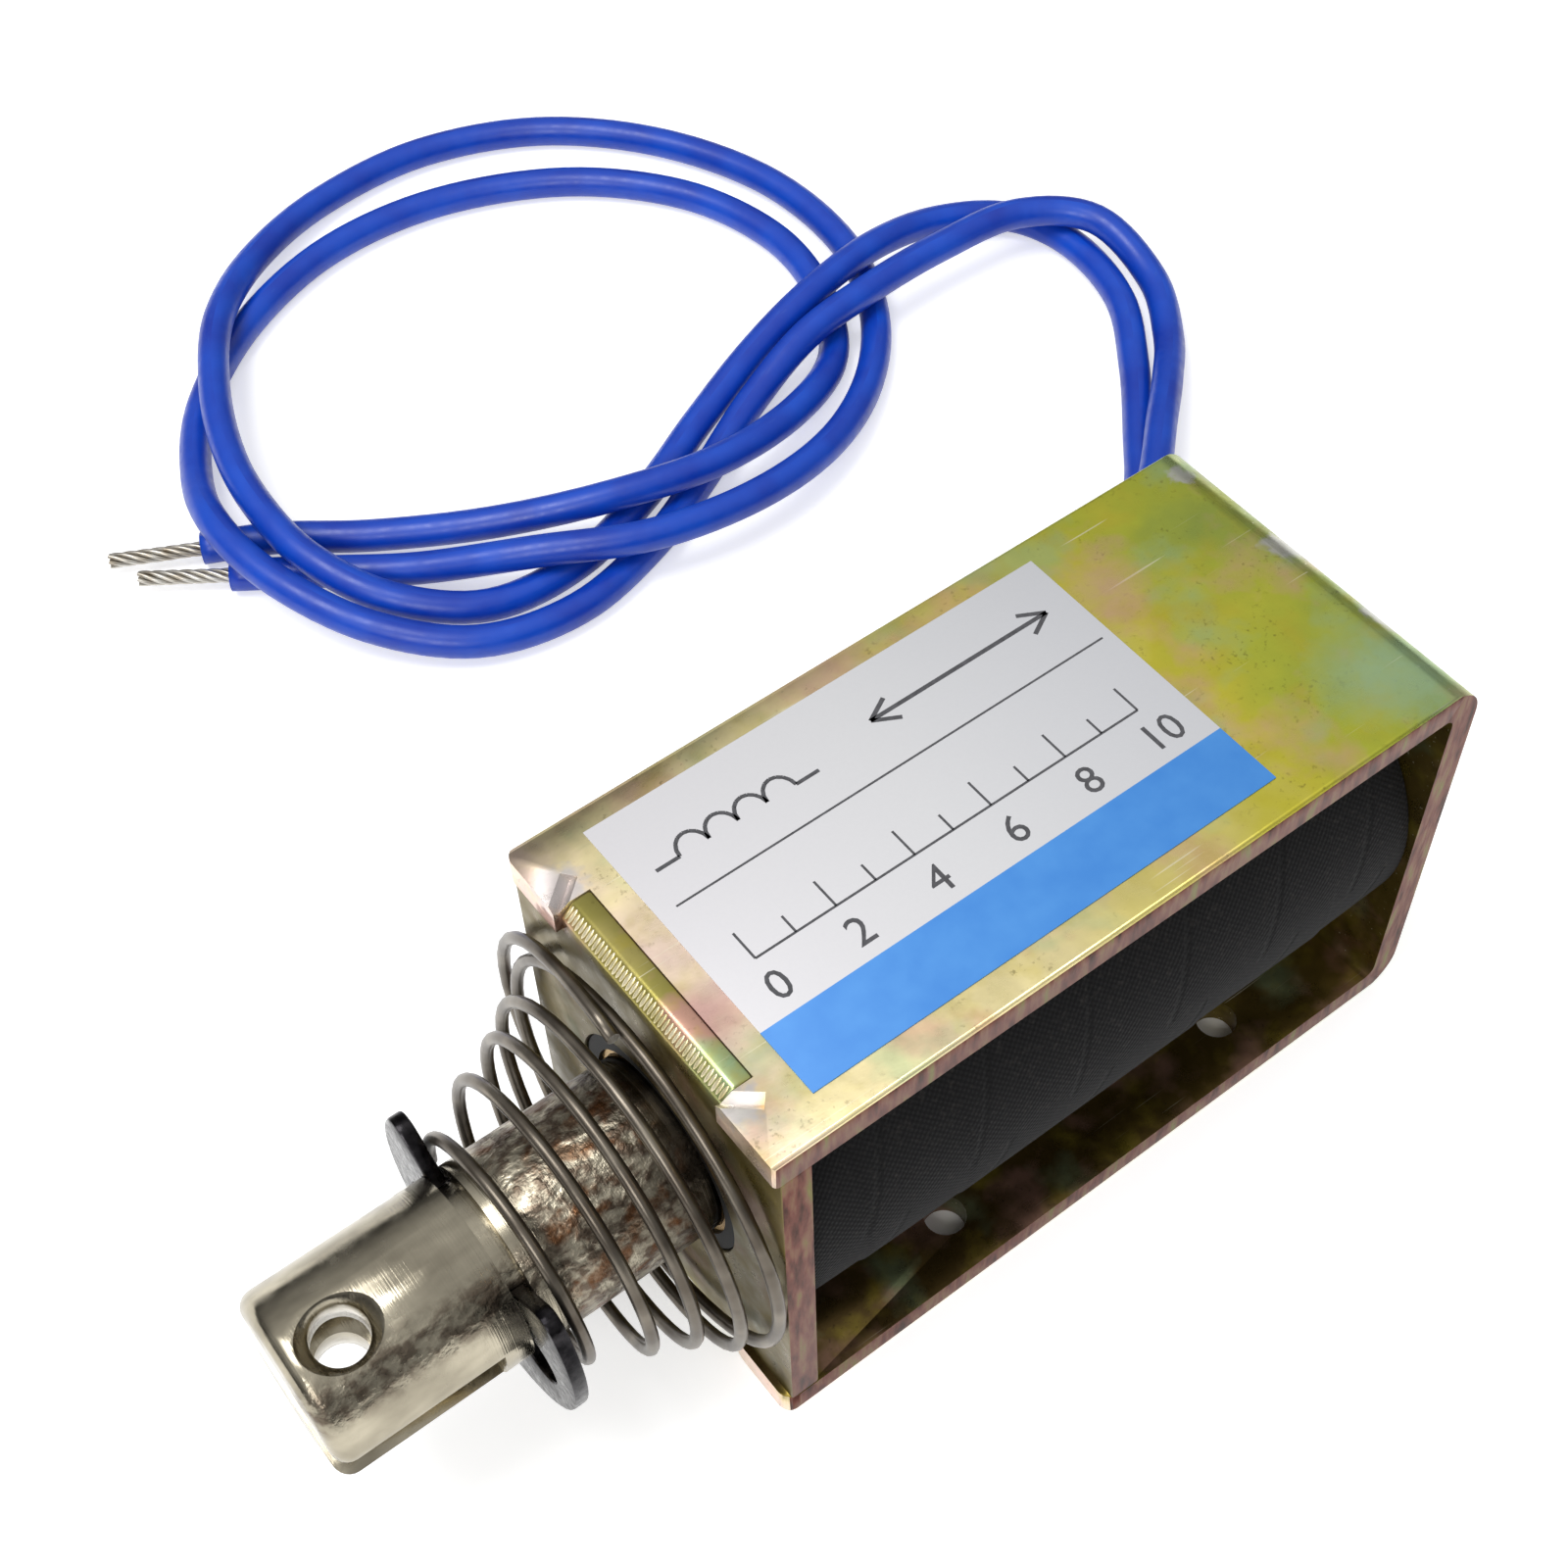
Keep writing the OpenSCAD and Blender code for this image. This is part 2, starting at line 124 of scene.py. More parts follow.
def make_finish(name, build, *values):
    """A material of one Principled shader, whose inputs build gives. build gets the call that adds
    a node to the material, and the values that set this finish apart."""
    material = bpy.data.materials.new(name)
    material.use_nodes = True
    tree = material.node_tree
    tree.nodes.clear()
    shader = add_node(tree, "ShaderNodeBsdfPrincipled", build(partial(add_node, tree), *values))
    add_node(tree, "ShaderNodeOutputMaterial", {"Surface": shader})
    return material


def body_mm(add):
    """The surface's own place in millimetres from the legs' front edges, and its x, y and z.
    On it a noise's scale is its blobs to the millimetre, and a mapping draws the blobs out."""
    where = add("ShaderNodeTexCoord").outputs["Object"]
    where = add("ShaderNodeVectorMath", {0: where, 1: (1000, 1000, 1000)}, operation="MULTIPLY")
    where = add("ShaderNodeVectorMath", {0: where, 1: (ORIGIN_X, 0, 0)})
    return where, *add("ShaderNodeSeparateXYZ", {0: where}).outputs


def run_mm(add):
    """The place on a wire in millimetres: along it and round it."""
    run = add("ShaderNodeUVMap", uv_map="run")
    return add("ShaderNodeVectorMath", {0: run, 1: (1000, 1000, 0)}, operation="MULTIPLY")


def stained(add, colour, share, strength, stain):
    """The colour, with a stain of that strength where the share is one."""
    share = add("ShaderNodeMath", {0: share, 1: strength}, operation="MULTIPLY")
    return add("ShaderNodeMix", {0: share, 6: colour, 7: stain}, data_type="RGBA")


def blotch(add, where, centre, radius, soft=0.4):
    """One inside a ragged blotch round a place, nothing outside it."""
    away = add("ShaderNodeVectorMath", {0: where, 1: centre}, operation="DISTANCE")
    rag = add("ShaderNodeTexNoise", {"Vector": where, "Scale": 1.1, "Detail": 3})
    rag = add("ShaderNodeMath", {0: rag, 1: 2.4, 2: -1.2}, operation="MULTIPLY_ADD")
    ragged = add("ShaderNodeMath", {0: away, 1: rag})
    return add("ShaderNodeMapRange", {0: ragged, 1: radius, 2: radius * (1 - soft), 3: 0.0, 4: 1.0})


# ---- finishes ----

def yellow_chromate(add, stops, tint=0.45, dark="#5b4a24"):
    """Zinc with a yellow chromate film: the film's thickness drifts, so it runs from cream and
    pink to green and gold over 3 to 9 mm, with fine dark specks where the film is open."""
    where, x, y, z = body_mm(add)
    drift = add("ShaderNodeTexNoise", {"Vector": where, "Scale": 0.11, "Detail": 3})
    drift = add("ShaderNodeMath", {0: drift, 1: 0.5, 2: -0.25}, operation="MULTIPLY_ADD")
    # The ramp runs along the body from the front edge to the rear; a pale front in it is partly a painted
    # highlight.
    along = add("ShaderNodeMath", {0: x, 1: 1 / BODY_L, 2: drift}, operation="MULTIPLY_ADD")
    colour = add("ShaderNodeValToRGB", {0: along}, stops)
    for film, blobs, detail, shift, low, high in (
            ("#dba49a", 0.17, 4, (31, 7, 3), 0.52, 0.66),
            ("#9fbf95", 0.14, 4, (3, 55, 9), 0.55, 0.68),
            ("#c3b23c", 0.3, 5, (13, 5, 29), 0.5, 0.72)):
        moved = add("ShaderNodeMapping", {"Vector": where, "Location": shift})
        share = add("ShaderNodeTexNoise", {"Vector": moved, "Scale": blobs, "Detail": detail})
        share = add("ShaderNodeValToRGB", {0: share}, ((low, 0.0), (high, tint)))
        colour = add("ShaderNodeMix", {0: share, 6: colour, 7: film}, data_type="RGBA")
    speck = add("ShaderNodeTexNoise", {"Vector": where, "Scale": 2.4, "Detail": 3})
    speck = add("ShaderNodeValToRGB", {0: speck}, ((0.6, 0.0), (0.74, 0.5)))
    patch = add("ShaderNodeMapping", {"Vector": where, "Location": (5, 5, 41)})
    patch = add("ShaderNodeTexNoise", {"Vector": patch, "Scale": 0.2, "Detail": 2})
    patch = add("ShaderNodeValToRGB", {0: patch}, ((0.42, 0.0), (0.62, 1.0)))
    colour = stained(add, colour, speck, patch, dark)
    # hairline scratches, about 14 mm long
    scratch = add("ShaderNodeMapping", {"Vector": where, "Location": (2, 9, 4), "Scale": (0.07, 3.2, 3.2)})
    scratch = add("ShaderNodeTexNoise", {"Vector": scratch, "Scale": 1.0, "Detail": 1})
    scratch = add("ShaderNodeValToRGB", {0: scratch}, ((0.72, 0.0), (0.76, 0.5)))
    colour = add("ShaderNodeMix", {0: scratch, 6: colour, 7: "#fff8dc"}, data_type="RGBA")
    rough = add("ShaderNodeTexNoise", {"Vector": where, "Scale": 0.5, "Detail": 4})
    rough = add("ShaderNodeValToRGB", {0: rough}, ((0.3, 0.24), (0.7, 0.44)))
    rolled = add("ShaderNodeMapping", {"Vector": where, "Scale": (0.4, 1, 1)})
    rolled = add("ShaderNodeTexNoise", {"Vector": rolled, "Scale": 5, "Detail": 2})
    grain = add("ShaderNodeBump", {"Height": rolled, "Strength": 0.12, "Distance": 0.05 * MM})
    return (where, x, y, z), {"Base Color": colour, "Metallic": 0.85, "Roughness": rough, "Normal": grain}


def chromated_strip(add):
    """The film is worn to bare zinc where the ears are peened and where the rear bend rubs."""
    # The cream and pink at the front of these stops is partly the film's own colour and partly a painted
    # highlight where the front catches the light; the green at the rear is the film's.
    (where, *_), surface = yellow_chromate(
        add, ((0.0, "#f6dccb"), (0.1, "#f2e3b0"), (0.3, "#ecdda6"), (0.55, "#ddcf80"),
              (0.72, "#cfc645"), (0.86, "#b8be44"), (1.0, "#97a851")))
    colour = surface["Base Color"]
    green, pink = "#a4c39c", "#dba9a4"
    for stain, strength, radius, spot in (
            (green, 0.7, 5.5, (BODY_L - 6, -10, BODY_H)),
            (green, 0.7, 5.5, (BODY_L - 3, -12.5, BODY_H)),
            (pink, 0.55, 4, (BODY_L - 15, 8, BODY_H)),
            (pink, 0.55, 4, (2.5, -4, BODY_H)),
            (pink, 0.55, 4, (28, BODY_W / 2 - 1, BODY_H))):
        colour = stained(add, colour, blotch(add, where, spot, radius, 0.9), strength, stain)
    bare = 0.0
    for spot, radius in (((1.4, 10.6, BODY_H), 2.3), ((1.2, -10.4, BODY_H), 1.8),
                         ((BODY_L - 1.5, 3, BODY_H), 2.2), ((BODY_L - 0.6, -6, BODY_H - 1), 2.0),
                         ((BODY_L - 3, 13, BODY_H), 1.2)):
        bare = add("ShaderNodeMath", {0: bare, 1: blotch(add, where, spot, radius)}, operation="MAXIMUM")
    colour = stained(add, colour, bare, 0.75, "#c9c6c8")
    rust = blotch(add, where, (0.2, 10.2, BODY_H - 2.2), 1.5)
    return {**surface, "Base Color": stained(add, colour, rust, 0.7, "#7a3f1c")}


def chromated_plate(add):
    """The plate's face is painted a darker brown-gold than its tab, as painted shade, since the tab stands
    in the light.
    """
    (where, x, y, z), surface = yellow_chromate(
        add, ((0.0, "#b9ad66"), (0.05, "#a9a056"), (0.4, "#a9a056")), 0.8)
    height = add("ShaderNodeMath", {0: z, 1: AXIS_Z}, operation="SUBTRACT")
    height = add("ShaderNodeMath", {0: height}, operation="ABSOLUTE")
    # painted shade: all of the face but its top and bottom edges mixes towards dark brown
    face = add("ShaderNodeMapRange", {0: height, 1: AXIS_Z - 0.6, 2: AXIS_Z - 2.2, 3: 0.0, 4: 0.8})
    colour = add("ShaderNodeMix", {0: face, 6: surface["Base Color"], 7: "#4d3b19"}, data_type="RGBA")
    return {**surface, "Base Color": colour}


def chromated_inside(add):
    """The strip's inner faces: the same film, painted darker and browner as painted shade between the legs
    and in the base holes.
    """
    return yellow_chromate(add, ((0.0, "#5c4a28"), (0.5, "#55441f"), (1.0, "#6c5a28")), 0.3, "#1c140a")[1]


def torn_film(add):
    """Fresh-torn film on the tab's slope: cream, on bare ridges."""
    where, *_ = body_mm(add)
    torn = add("ShaderNodeTexNoise", {"Vector": where, "Scale": 0.5, "Detail": 3})
    torn = add("ShaderNodeValToRGB", {0: torn}, ((0.35, "#cfc38e"), (0.6, "#efe4c0")))
    return {"Base Color": torn, "Metallic": 0.7, "Roughness": 0.34}


def sheared_steel(add):
    """The strip's cut edges: torn steel under the film, rougher than the faces, and darker, partly as torn
    steel and partly as painted shade. The tears run up and down and are 0.3 to 0.8 mm wide."""
    where, *_ = body_mm(add)
    streak = add("ShaderNodeMapping", {"Vector": where, "Scale": (1.6, 1, 0.35)})
    streak = add("ShaderNodeTexNoise", {"Vector": streak, "Scale": 0.8, "Detail": 4})
    # the dark stops are partly painted shade
    colour = add("ShaderNodeValToRGB", {0: streak}, (
        (0.3, "#3c2218"), (0.48, "#6e4238"), (0.6, "#7c5c48"), (0.72, "#74703f"), (0.85, "#94805c")))
    tear = add("ShaderNodeMapping", {"Vector": where, "Scale": (1.6, 1, 0.3)})
    tear = add("ShaderNodeTexNoise", {"Vector": tear, "Scale": 2.2, "Detail": 3})
    tear = add("ShaderNodeBump", {"Height": tear, "Strength": 0.35, "Distance": 0.12 * MM})
    return {"Base Color": colour, "Metallic": 0.8, "Roughness": 0.5, "Normal": tear}


def turned_nickel(add):
    """Nickel over turned steel. A band between the clip and the plate is pitted and stained where the
    plating didn't take, and its brown is partly a painted reflection; a streak of small pits runs along the
    clevis. Towards the plate it is painted darker, as painted shade."""
    where, x, y, z = body_mm(add)
    drift = add("ShaderNodeMapping", {"Vector": where, "Scale": (0.5, 1, 1)})
    drift = add("ShaderNodeTexNoise", {"Vector": drift, "Scale": 0.35, "Detail": 3})
    colour = add("ShaderNodeValToRGB", {0: drift}, ((0.3, "#8a8373"), (0.7, "#b8b09c")))
    band_middle, band_half, band_core = -6.2, 6.2, 4.6
    band = add("ShaderNodeMath", {0: x, 1: -band_middle})
    band = add("ShaderNodeMath", {0: band}, operation="ABSOLUTE")
    band = add("ShaderNodeMapRange", {0: band, 1: band_half, 2: band_core, 3: 0.0, 4: 1.0})
    streak_angle, streak_half, streak_core = 2.36, 0.34, 0.12
    height = add("ShaderNodeMath", {0: z, 1: AXIS_Z}, operation="SUBTRACT")
    angle = add("ShaderNodeMath", {0: height, 1: y}, operation="ARCTAN2")
    streak = add("ShaderNodeMath", {0: angle, 1: -streak_angle})
    streak = add("ShaderNodeMath", {0: streak}, operation="ABSOLUTE")
    streak = add("ShaderNodeMapRange", {0: streak, 1: streak_half, 2: streak_core, 3: 0.0, 4: 0.8})
    worn = add("ShaderNodeMath", {0: band, 1: streak}, operation="MAXIMUM")
    pits = add("ShaderNodeMapping", {"Vector": where, "Scale": (0.8, 1, 1)})
    pits = add("ShaderNodeTexNoise", {"Vector": pits, "Scale": 1.1, "Detail": 4})
    stain = add("ShaderNodeValToRGB", {0: pits}, ((0.42, 0.0), (0.58, 0.8)))
    colour = stained(add, colour, worn, stain, "#463328")
    # painted shade: the plunger darkens towards the plate, where it enters the bore
    painted_shade_near_plate = add("ShaderNodeMapRange", {0: x, 1: -4.0, 2: -0.4, 3: 0.0, 4: 0.88})
    colour = add("ShaderNodeMix", {0: painted_shade_near_plate, 6: colour, 7: "#1f1610"}, data_type="RGBA")
    # brown mottling in the band: partly stains, partly a painted brown reflection
    brown = add("ShaderNodeMapping", {"Vector": where, "Location": (9, 9, 1)})
    brown = add("ShaderNodeTexNoise", {"Vector": brown, "Scale": 0.5, "Detail": 3})
    brown = add("ShaderNodeValToRGB", {0: brown}, ((0.5, 0.0), (0.62, 0.7)))
    colour = stained(add, colour, brown, band, "#5e3716")
    shine = add("ShaderNodeMapping", {"Vector": where, "Location": (7, 1, 2)})
    shine = add("ShaderNodeTexNoise", {"Vector": shine, "Scale": 0.8, "Detail": 3})
    shine = add("ShaderNodeValToRGB", {0: shine}, ((0.35, 0.14), (0.7, 0.3)))
    rough = add("ShaderNodeMath", {0: worn, 1: 0.14, 2: shine}, operation="MULTIPLY_ADD")
    # the lathe's rings, nine to the millimetre
    lathe = add("ShaderNodeMapping", {"Vector": where, "Scale": (9, 0.1, 0.1)})
    lathe = add("ShaderNodeTexNoise", {"Vector": lathe, "Scale": 1.0, "Detail": 1})
    lathe = add("ShaderNodeMath", {0: lathe, 1: 0.05}, operation="MULTIPLY")
    pitted = add("ShaderNodeMath", {0: worn, 1: pits}, operation="MULTIPLY")
    height = add("ShaderNodeMath", {0: lathe, 1: pitted})
    height = add("ShaderNodeBump", {"Height": height, "Strength": 0.7, "Distance": 0.3 * MM})
    return {"Base Color": colour, "Metallic": 1.0, "Roughness": rough, "Normal": height}


def turned_steel(add, colour, rough):
    """Plain turned steel with fine rings from the tool, seven to the millimetre."""
    where, *_ = body_mm(add)
    drift = add("ShaderNodeTexNoise", {"Vector": where, "Scale": 0.7, "Detail": 3})
    rings = add("ShaderNodeMapping", {"Vector": where, "Scale": (7, 0.1, 0.1)})
    rings = add("ShaderNodeTexNoise", {"Vector": rings, "Scale": 1.0, "Detail": 1})
    rings = add("ShaderNodeBump", {"Height": rings, "Strength": 0.15, "Distance": 0.04 * MM})
    return {"Base Color": stained(add, colour, drift, 0.4, "#6d675f"), "Metallic": 1.0,
            "Roughness": rough, "Normal": rings}


def black_oxide(add):
    """Blackened spring steel, oiled: dark and glossy, with grey where the edges rub."""
    where, *_ = body_mm(add)
    rubbed = add("ShaderNodeTexNoise", {"Vector": where, "Scale": 0.9, "Detail": 4})
    rubbed = add("ShaderNodeValToRGB", {0: rubbed}, ((0.4, "#161517"), (0.75, "#3a383a")))
    oiled = add("ShaderNodeTexNoise", {"Vector": where, "Scale": 1.6, "Detail": 2})
    oiled = add("ShaderNodeValToRGB", {0: oiled}, ((0.3, 0.16), (0.7, 0.36)))
    grit = add("ShaderNodeTexNoise", {"Vector": where, "Scale": 3, "Detail": 2})
    grit = add("ShaderNodeBump", {"Height": grit, "Strength": 0.1, "Distance": 0.05 * MM})
    return {"Base Color": rubbed, "Metallic": 1.0, "Roughness": oiled, "Normal": grit}


def drawn_wire(add):
    """Drawn spring wire: a brown-grey temper colour and die lines that run along it, 0.16 mm apart."""
    mm = run_mm(add)
    temper = add("ShaderNodeMapping", {"Vector": mm, "Scale": (1, 0.6, 1)})
    temper = add("ShaderNodeTexNoise", {"Vector": temper, "Scale": 0.25, "Detail": 3})
    temper = add("ShaderNodeValToRGB", {0: temper}, ((0.3, "#4c443b"), (0.55, "#6c655b"), (0.75, "#8a8275")))
    lines = add("ShaderNodeMapping", {"Vector": mm, "Scale": (0.04, 2.5, 1)})
    lines = add("ShaderNodeTexNoise", {"Vector": lines, "Scale": 2.5, "Detail": 2})
    lines = add("ShaderNodeBump", {"Height": lines, "Strength": 0.25, "Distance": 0.04 * MM})
    return {"Base Color": temper, "Metallic": 0.9, "Roughness": 0.32, "Normal": lines}


def cropped_end(add):
    """The spring wire's cut face: bright steel, dragged to one side by the cutter."""
    where, *_ = body_mm(add)
    drag = add("ShaderNodeMapping", {"Vector": where, "Scale": (1.5, 1, 0.3)})
    drag = add("ShaderNodeTexNoise", {"Vector": drag, "Scale": 3.5, "Detail": 3})
    colour = add("ShaderNodeValToRGB", {0: drag}, ((0.35, "#aeaaa2"), (0.65, "#d6d3cc")))
    drag = add("ShaderNodeBump", {"Height": drag, "Strength": 0.3, "Distance": 0.05 * MM})
    return {"Base Color": colour, "Metallic": 1.0, "Roughness": 0.35, "Normal": drag}


def cloth_tape(add, tint):
    """Black cotton tape: two sets of threads give the matte weave, and the laps show as seams.
    The threads are about 0.3 mm apart in such tape, and drawn at 0.55 mm so that they show."""
    thread, lap_width = 0.55, 9.5
    where, x, y, z = body_mm(add)
    height = add("ShaderNodeMath", {0: z, 1: AXIS_Z}, operation="SUBTRACT")
    arc = add("ShaderNodeMath", {0: height, 1: y}, operation="ARCTAN2")
    arc = add("ShaderNodeMath", {0: arc, 1: TAPE_R}, operation="MULTIPLY")
    warp = add("ShaderNodeMath", {0: x, 1: 2 * math.pi / thread}, operation="MULTIPLY")
    warp = add("ShaderNodeMath", {0: warp}, operation="SINE")
    weft = add("ShaderNodeMath", {0: arc, 1: 2 * math.pi / thread}, operation="MULTIPLY")
    weft = add("ShaderNodeMath", {0: weft}, operation="SINE")
    weave = add("ShaderNodeMath", {0: warp, 1: weft}, operation="MULTIPLY")
    weave = add("ShaderNodeMath", {0: weave, 1: 0.5, 2: 0.5}, operation="MULTIPLY_ADD")
    lap = add("ShaderNodeMath", {0: x, 1: 1 / lap_width}, operation="MULTIPLY")
    lap = add("ShaderNodeMath", {0: arc, 1: 0.035, 2: lap}, operation="MULTIPLY_ADD")
    lap = add("ShaderNodeMath", {0: lap}, operation="FRACT")
    lap = add("ShaderNodeMath", {0: lap, 1: 0.5}, operation="SUBTRACT")
    lap = add("ShaderNodeMath", {0: lap}, operation="ABSOLUTE")
    seam = add("ShaderNodeMapRange", {0: lap, 1: 0.045, 2: 0.015, 3: 0.0, 4: 1.0})
    dust = add("ShaderNodeTexNoise", {"Vector": where, "Scale": 1.8, "Detail": 5})
    dust = add("ShaderNodeValToRGB", {0: dust}, ((0.55, 0.0), (0.8, 0.2)))
    colour = stained(add, tint, weave, 0.55, "#131214")
    colour = add("ShaderNodeMix", {0: seam, 6: colour, 7: "#060607"}, data_type="RGBA")
    colour = add("ShaderNodeMix", {0: dust, 6: colour, 7: "#55504c"}, data_type="RGBA")
    sunk = add("ShaderNodeMath", {0: seam, 1: 2.0}, operation="MULTIPLY")
    relief = add("ShaderNodeMath", {0: weave, 1: sunk}, operation="SUBTRACT")
    relief = add("ShaderNodeBump", {"Height": relief, "Strength": 0.5, "Distance": 0.14 * MM})
    return {"Base Color": colour, "Roughness": 0.9, "Specular IOR Level": 0.3, "Normal": relief}


def moulded_nylon(add, colour, rough, spot):
    """Moulded nylon: matte, faintly mottled, with the fine grain of the mould."""
    where, *_ = body_mm(add)
    mottle = add("ShaderNodeTexNoise", {"Vector": where, "Scale": 1.3, "Detail": 4})
    grain = add("ShaderNodeTexNoise", {"Vector": where, "Scale": 4, "Detail": 3})
    grain = add("ShaderNodeBump", {"Height": grain, "Strength": 0.12, "Distance": 0.05 * MM})
    return {"Base Color": stained(add, colour, mottle, 0.35, spot), "Roughness": rough,
            "Specular IOR Level": 0.25, "Normal": grain}


def drawn_metal(add, colour, dull, rough):
    """Brass or copper that was drawn: lines along it, and dull stains."""
    where, *_ = body_mm(add)
    stain = add("ShaderNodeTexNoise", {"Vector": where, "Scale": 0.7, "Detail": 4})
    stain = add("ShaderNodeValToRGB", {0: stain}, ((0.4, 0.0), (0.7, 0.7)))
    colour = add("ShaderNodeMix", {0: stain, 6: colour, 7: dull}, data_type="RGBA")
    lines = add("ShaderNodeMapping", {"Vector": where, "Scale": (0.1, 1, 1)})
    lines = add("ShaderNodeTexNoise", {"Vector": lines, "Scale": 3, "Detail": 2})
    lines = add("ShaderNodeBump", {"Height": lines, "Strength": 0.15, "Distance": 0.04 * MM})
    return {"Base Color": colour, "Metallic": 1.0, "Roughness": rough, "Normal": lines}


def soft_pvc(add):
    """PVC insulation: satin, slightly uneven from the extruder, with faint scuffs."""
    mm = run_mm(add)
    tone = add("ShaderNodeTexNoise", {"Vector": mm, "Scale": 0.12, "Detail": 3})
    tone = add("ShaderNodeValToRGB", {0: tone}, ((0.3, "#0330a2"), (0.7, "#074cc4")))
    scuff = add("ShaderNodeMapping", {"Vector": mm, "Scale": (0.3, 1, 1)})
    scuff = add("ShaderNodeTexNoise", {"Vector": scuff, "Scale": 1.6, "Detail": 4})
    scuff = add("ShaderNodeValToRGB", {0: scuff}, ((0.64, 0.0), (0.76, 0.35)))
    colour = add("ShaderNodeMix", {0: scuff, 6: tone, 7: "#2a58b4"}, data_type="RGBA")
    rough = add("ShaderNodeTexNoise", {"Vector": mm, "Scale": 0.8, "Detail": 3})
    rough = add("ShaderNodeValToRGB", {0: rough}, ((0.3, 0.3), (0.7, 0.46)))
    uneven = add("ShaderNodeMapping", {"Vector": mm, "Scale": (0.5, 1, 1)})
    uneven = add("ShaderNodeTexNoise", {"Vector": uneven, "Scale": 0.5, "Detail": 3})
    uneven = add("ShaderNodeBump", {"Height": uneven, "Strength": 0.15, "Distance": 0.12 * MM})
    return {"Base Color": colour, "Roughness": rough, "IOR": 1.52, "Normal": uneven}


def label_film(add):
    """Silver polyester film with a blue band: satin, with a fine metal grain under the lacquer."""
    band_edge = -7.0
    where, x, y, z = body_mm(add)
    along = add("ShaderNodeMath", {0: x, 1: 1 / 50}, operation="MULTIPLY")
    ground = add("ShaderNodeValToRGB", {0: along}, ((0.05, "#d4d2d5"), (0.5, "#d3d3d5"), (0.95, "#cbccd0")))
    grain = add("ShaderNodeTexNoise", {"Vector": where, "Scale": 4, "Detail": 3})
    ground = stained(add, ground, grain, 0.1, "#a8aaae")
    band = add("ShaderNodeMath", {0: y, 1: band_edge}, operation="LESS_THAN")
    blue = add("ShaderNodeTexNoise", {"Vector": where, "Scale": 0.4, "Detail": 3})
    blue = add("ShaderNodeValToRGB", {0: blue}, ((0.3, "#3f86d4"), (0.7, "#4a90da")))
    colour = add("ShaderNodeMix", {0: band, 6: ground, 7: blue}, data_type="RGBA")
    grain = add("ShaderNodeBump", {"Height": grain, "Strength": 0.05, "Distance": 0.03 * MM})
    return {"Base Color": colour, "Metallic": 0.1, "Roughness": 0.45, "Normal": grain}


def printed_ink(add):
    """Screen-printed ink: dark grey, paler where the mesh laid less of it."""
    where, *_ = body_mm(add)
    laid = add("ShaderNodeTexNoise", {"Vector": where, "Scale": 2.2, "Detail": 4})
    laid = add("ShaderNodeValToRGB", {0: laid}, ((0.35, "#434346"), (0.7, "#545458")))
    return {"Base Color": laid, "Roughness": 0.5}


STRIP = make_finish("yellow_chromated_strip", chromated_strip)
EDGE = make_finish("sheared_strip_edge", sheared_steel)
PLATE = make_finish("yellow_chromated_plate", chromated_plate)
SHADED_INSIDE = make_finish("yellow_chromated_inside_painted_shade", chromated_inside)
RIDGES = make_finish("torn_film_ridges", torn_film)
NICKEL = make_finish("nickel_on_turned_steel", turned_nickel)
OXIDE = make_finish("black_oxided_steel", black_oxide)
SPRING_WIRE = make_finish("drawn_spring_wire", drawn_wire)
WIRE_END = make_finish("cropped_wire_end", cropped_end)
STEEL = make_finish("plain_turned_steel", turned_steel, "#a9a9aa", 0.3)
TAPE = make_finish("black_cloth_tape_weave", cloth_tape, "#060607")
PATCH = make_finish("splice_cloth_tape", cloth_tape, "#101012")
NYLON = make_finish("black_moulded_nylon", moulded_nylon, "#0a0a0b", 0.55, "#1d1d1f")
WHITE_NYLON = make_finish("white_nylon_washer", moulded_nylon, "#e2ddcf", 0.5, "#b9b2a0")
BRASS = make_finish("drawn_brass_tube", drawn_metal, "#caa04a", "#7d5a26", 0.25)
COPPER = make_finish("enamelled_copper_winding", drawn_metal, "#b4602f", "#6e3315", 0.3)
TINNED = make_finish("tinned_copper_strand", drawn_metal, "#c4c1ba", "#8f8068", 0.34)
BLUE_PVC = make_finish("soft_pvc_insulation", soft_pvc)
FILM = make_finish("silver_label_film", label_film)
INK = make_finish("dark_grey_print", printed_ink)


# ---- meshes ----

def mesh_piece(name, verts, faces, material, smooth=True):
    mesh = bpy.data.meshes.new(name)
    mesh.from_pydata([tuple(v) for v in verts], [], faces)
    mesh.materials.append(material)
    mesh.polygons.foreach_set("use_smooth", [smooth] * len(mesh.polygons))
    mesh.update()
    return in_scene(name, mesh)


def tube_mesh(name, points, radius, sides, material):
    """A round tube along the points, turned as little as possible from ring to ring, with a map
    that runs in metres: along the tube and round it."""
    n = len(points)
    headings = [(points[min(i + 1, n - 1)] - points[max(i - 1, 0)]).normalized() for i in range(n)]
    side = headings[0].orthogonal().normalized()
    verts, run, runs = [], 0.0, []
    for i, (p, h) in enumerate(zip(points, headings)):
        side = (side - side.dot(h) * h).normalized()
        up = h.cross(side)
        for k in range(sides):
            angle = 2 * math.pi * k / sides
            verts.append(p + radius * (math.cos(angle) * side + math.sin(angle) * up))
        run += (p - points[i - 1]).length if i else 0
        runs.append(run)
    faces = [(i * sides + k, i * sides + (k + 1) % sides,
              (i + 1) * sides + (k + 1) % sides, (i + 1) * sides + k)
             for i in range(n - 1) for k in range(sides)]
    faces += [tuple(range(sides - 1, -1, -1)), tuple((n - 1) * sides + k for k in range(sides))]
    piece = mesh_piece(name, verts, faces, material)
    layer = piece.data.uv_layers.new(name="run")
    for poly in piece.data.polygons:
        if len(poly.vertices) != 4:
            poly.use_smooth = False
            continue
        i, k = divmod(poly.index, sides)
        corners = [(runs[i], k), (runs[i], k + 1), (runs[i + 1], k + 1), (runs[i + 1], k)]
        for loop, (u, v) in zip(poly.loop_indices, corners):
            layer.data[loop].uv = (u, v / sides * 2 * math.pi * radius)
    return piece


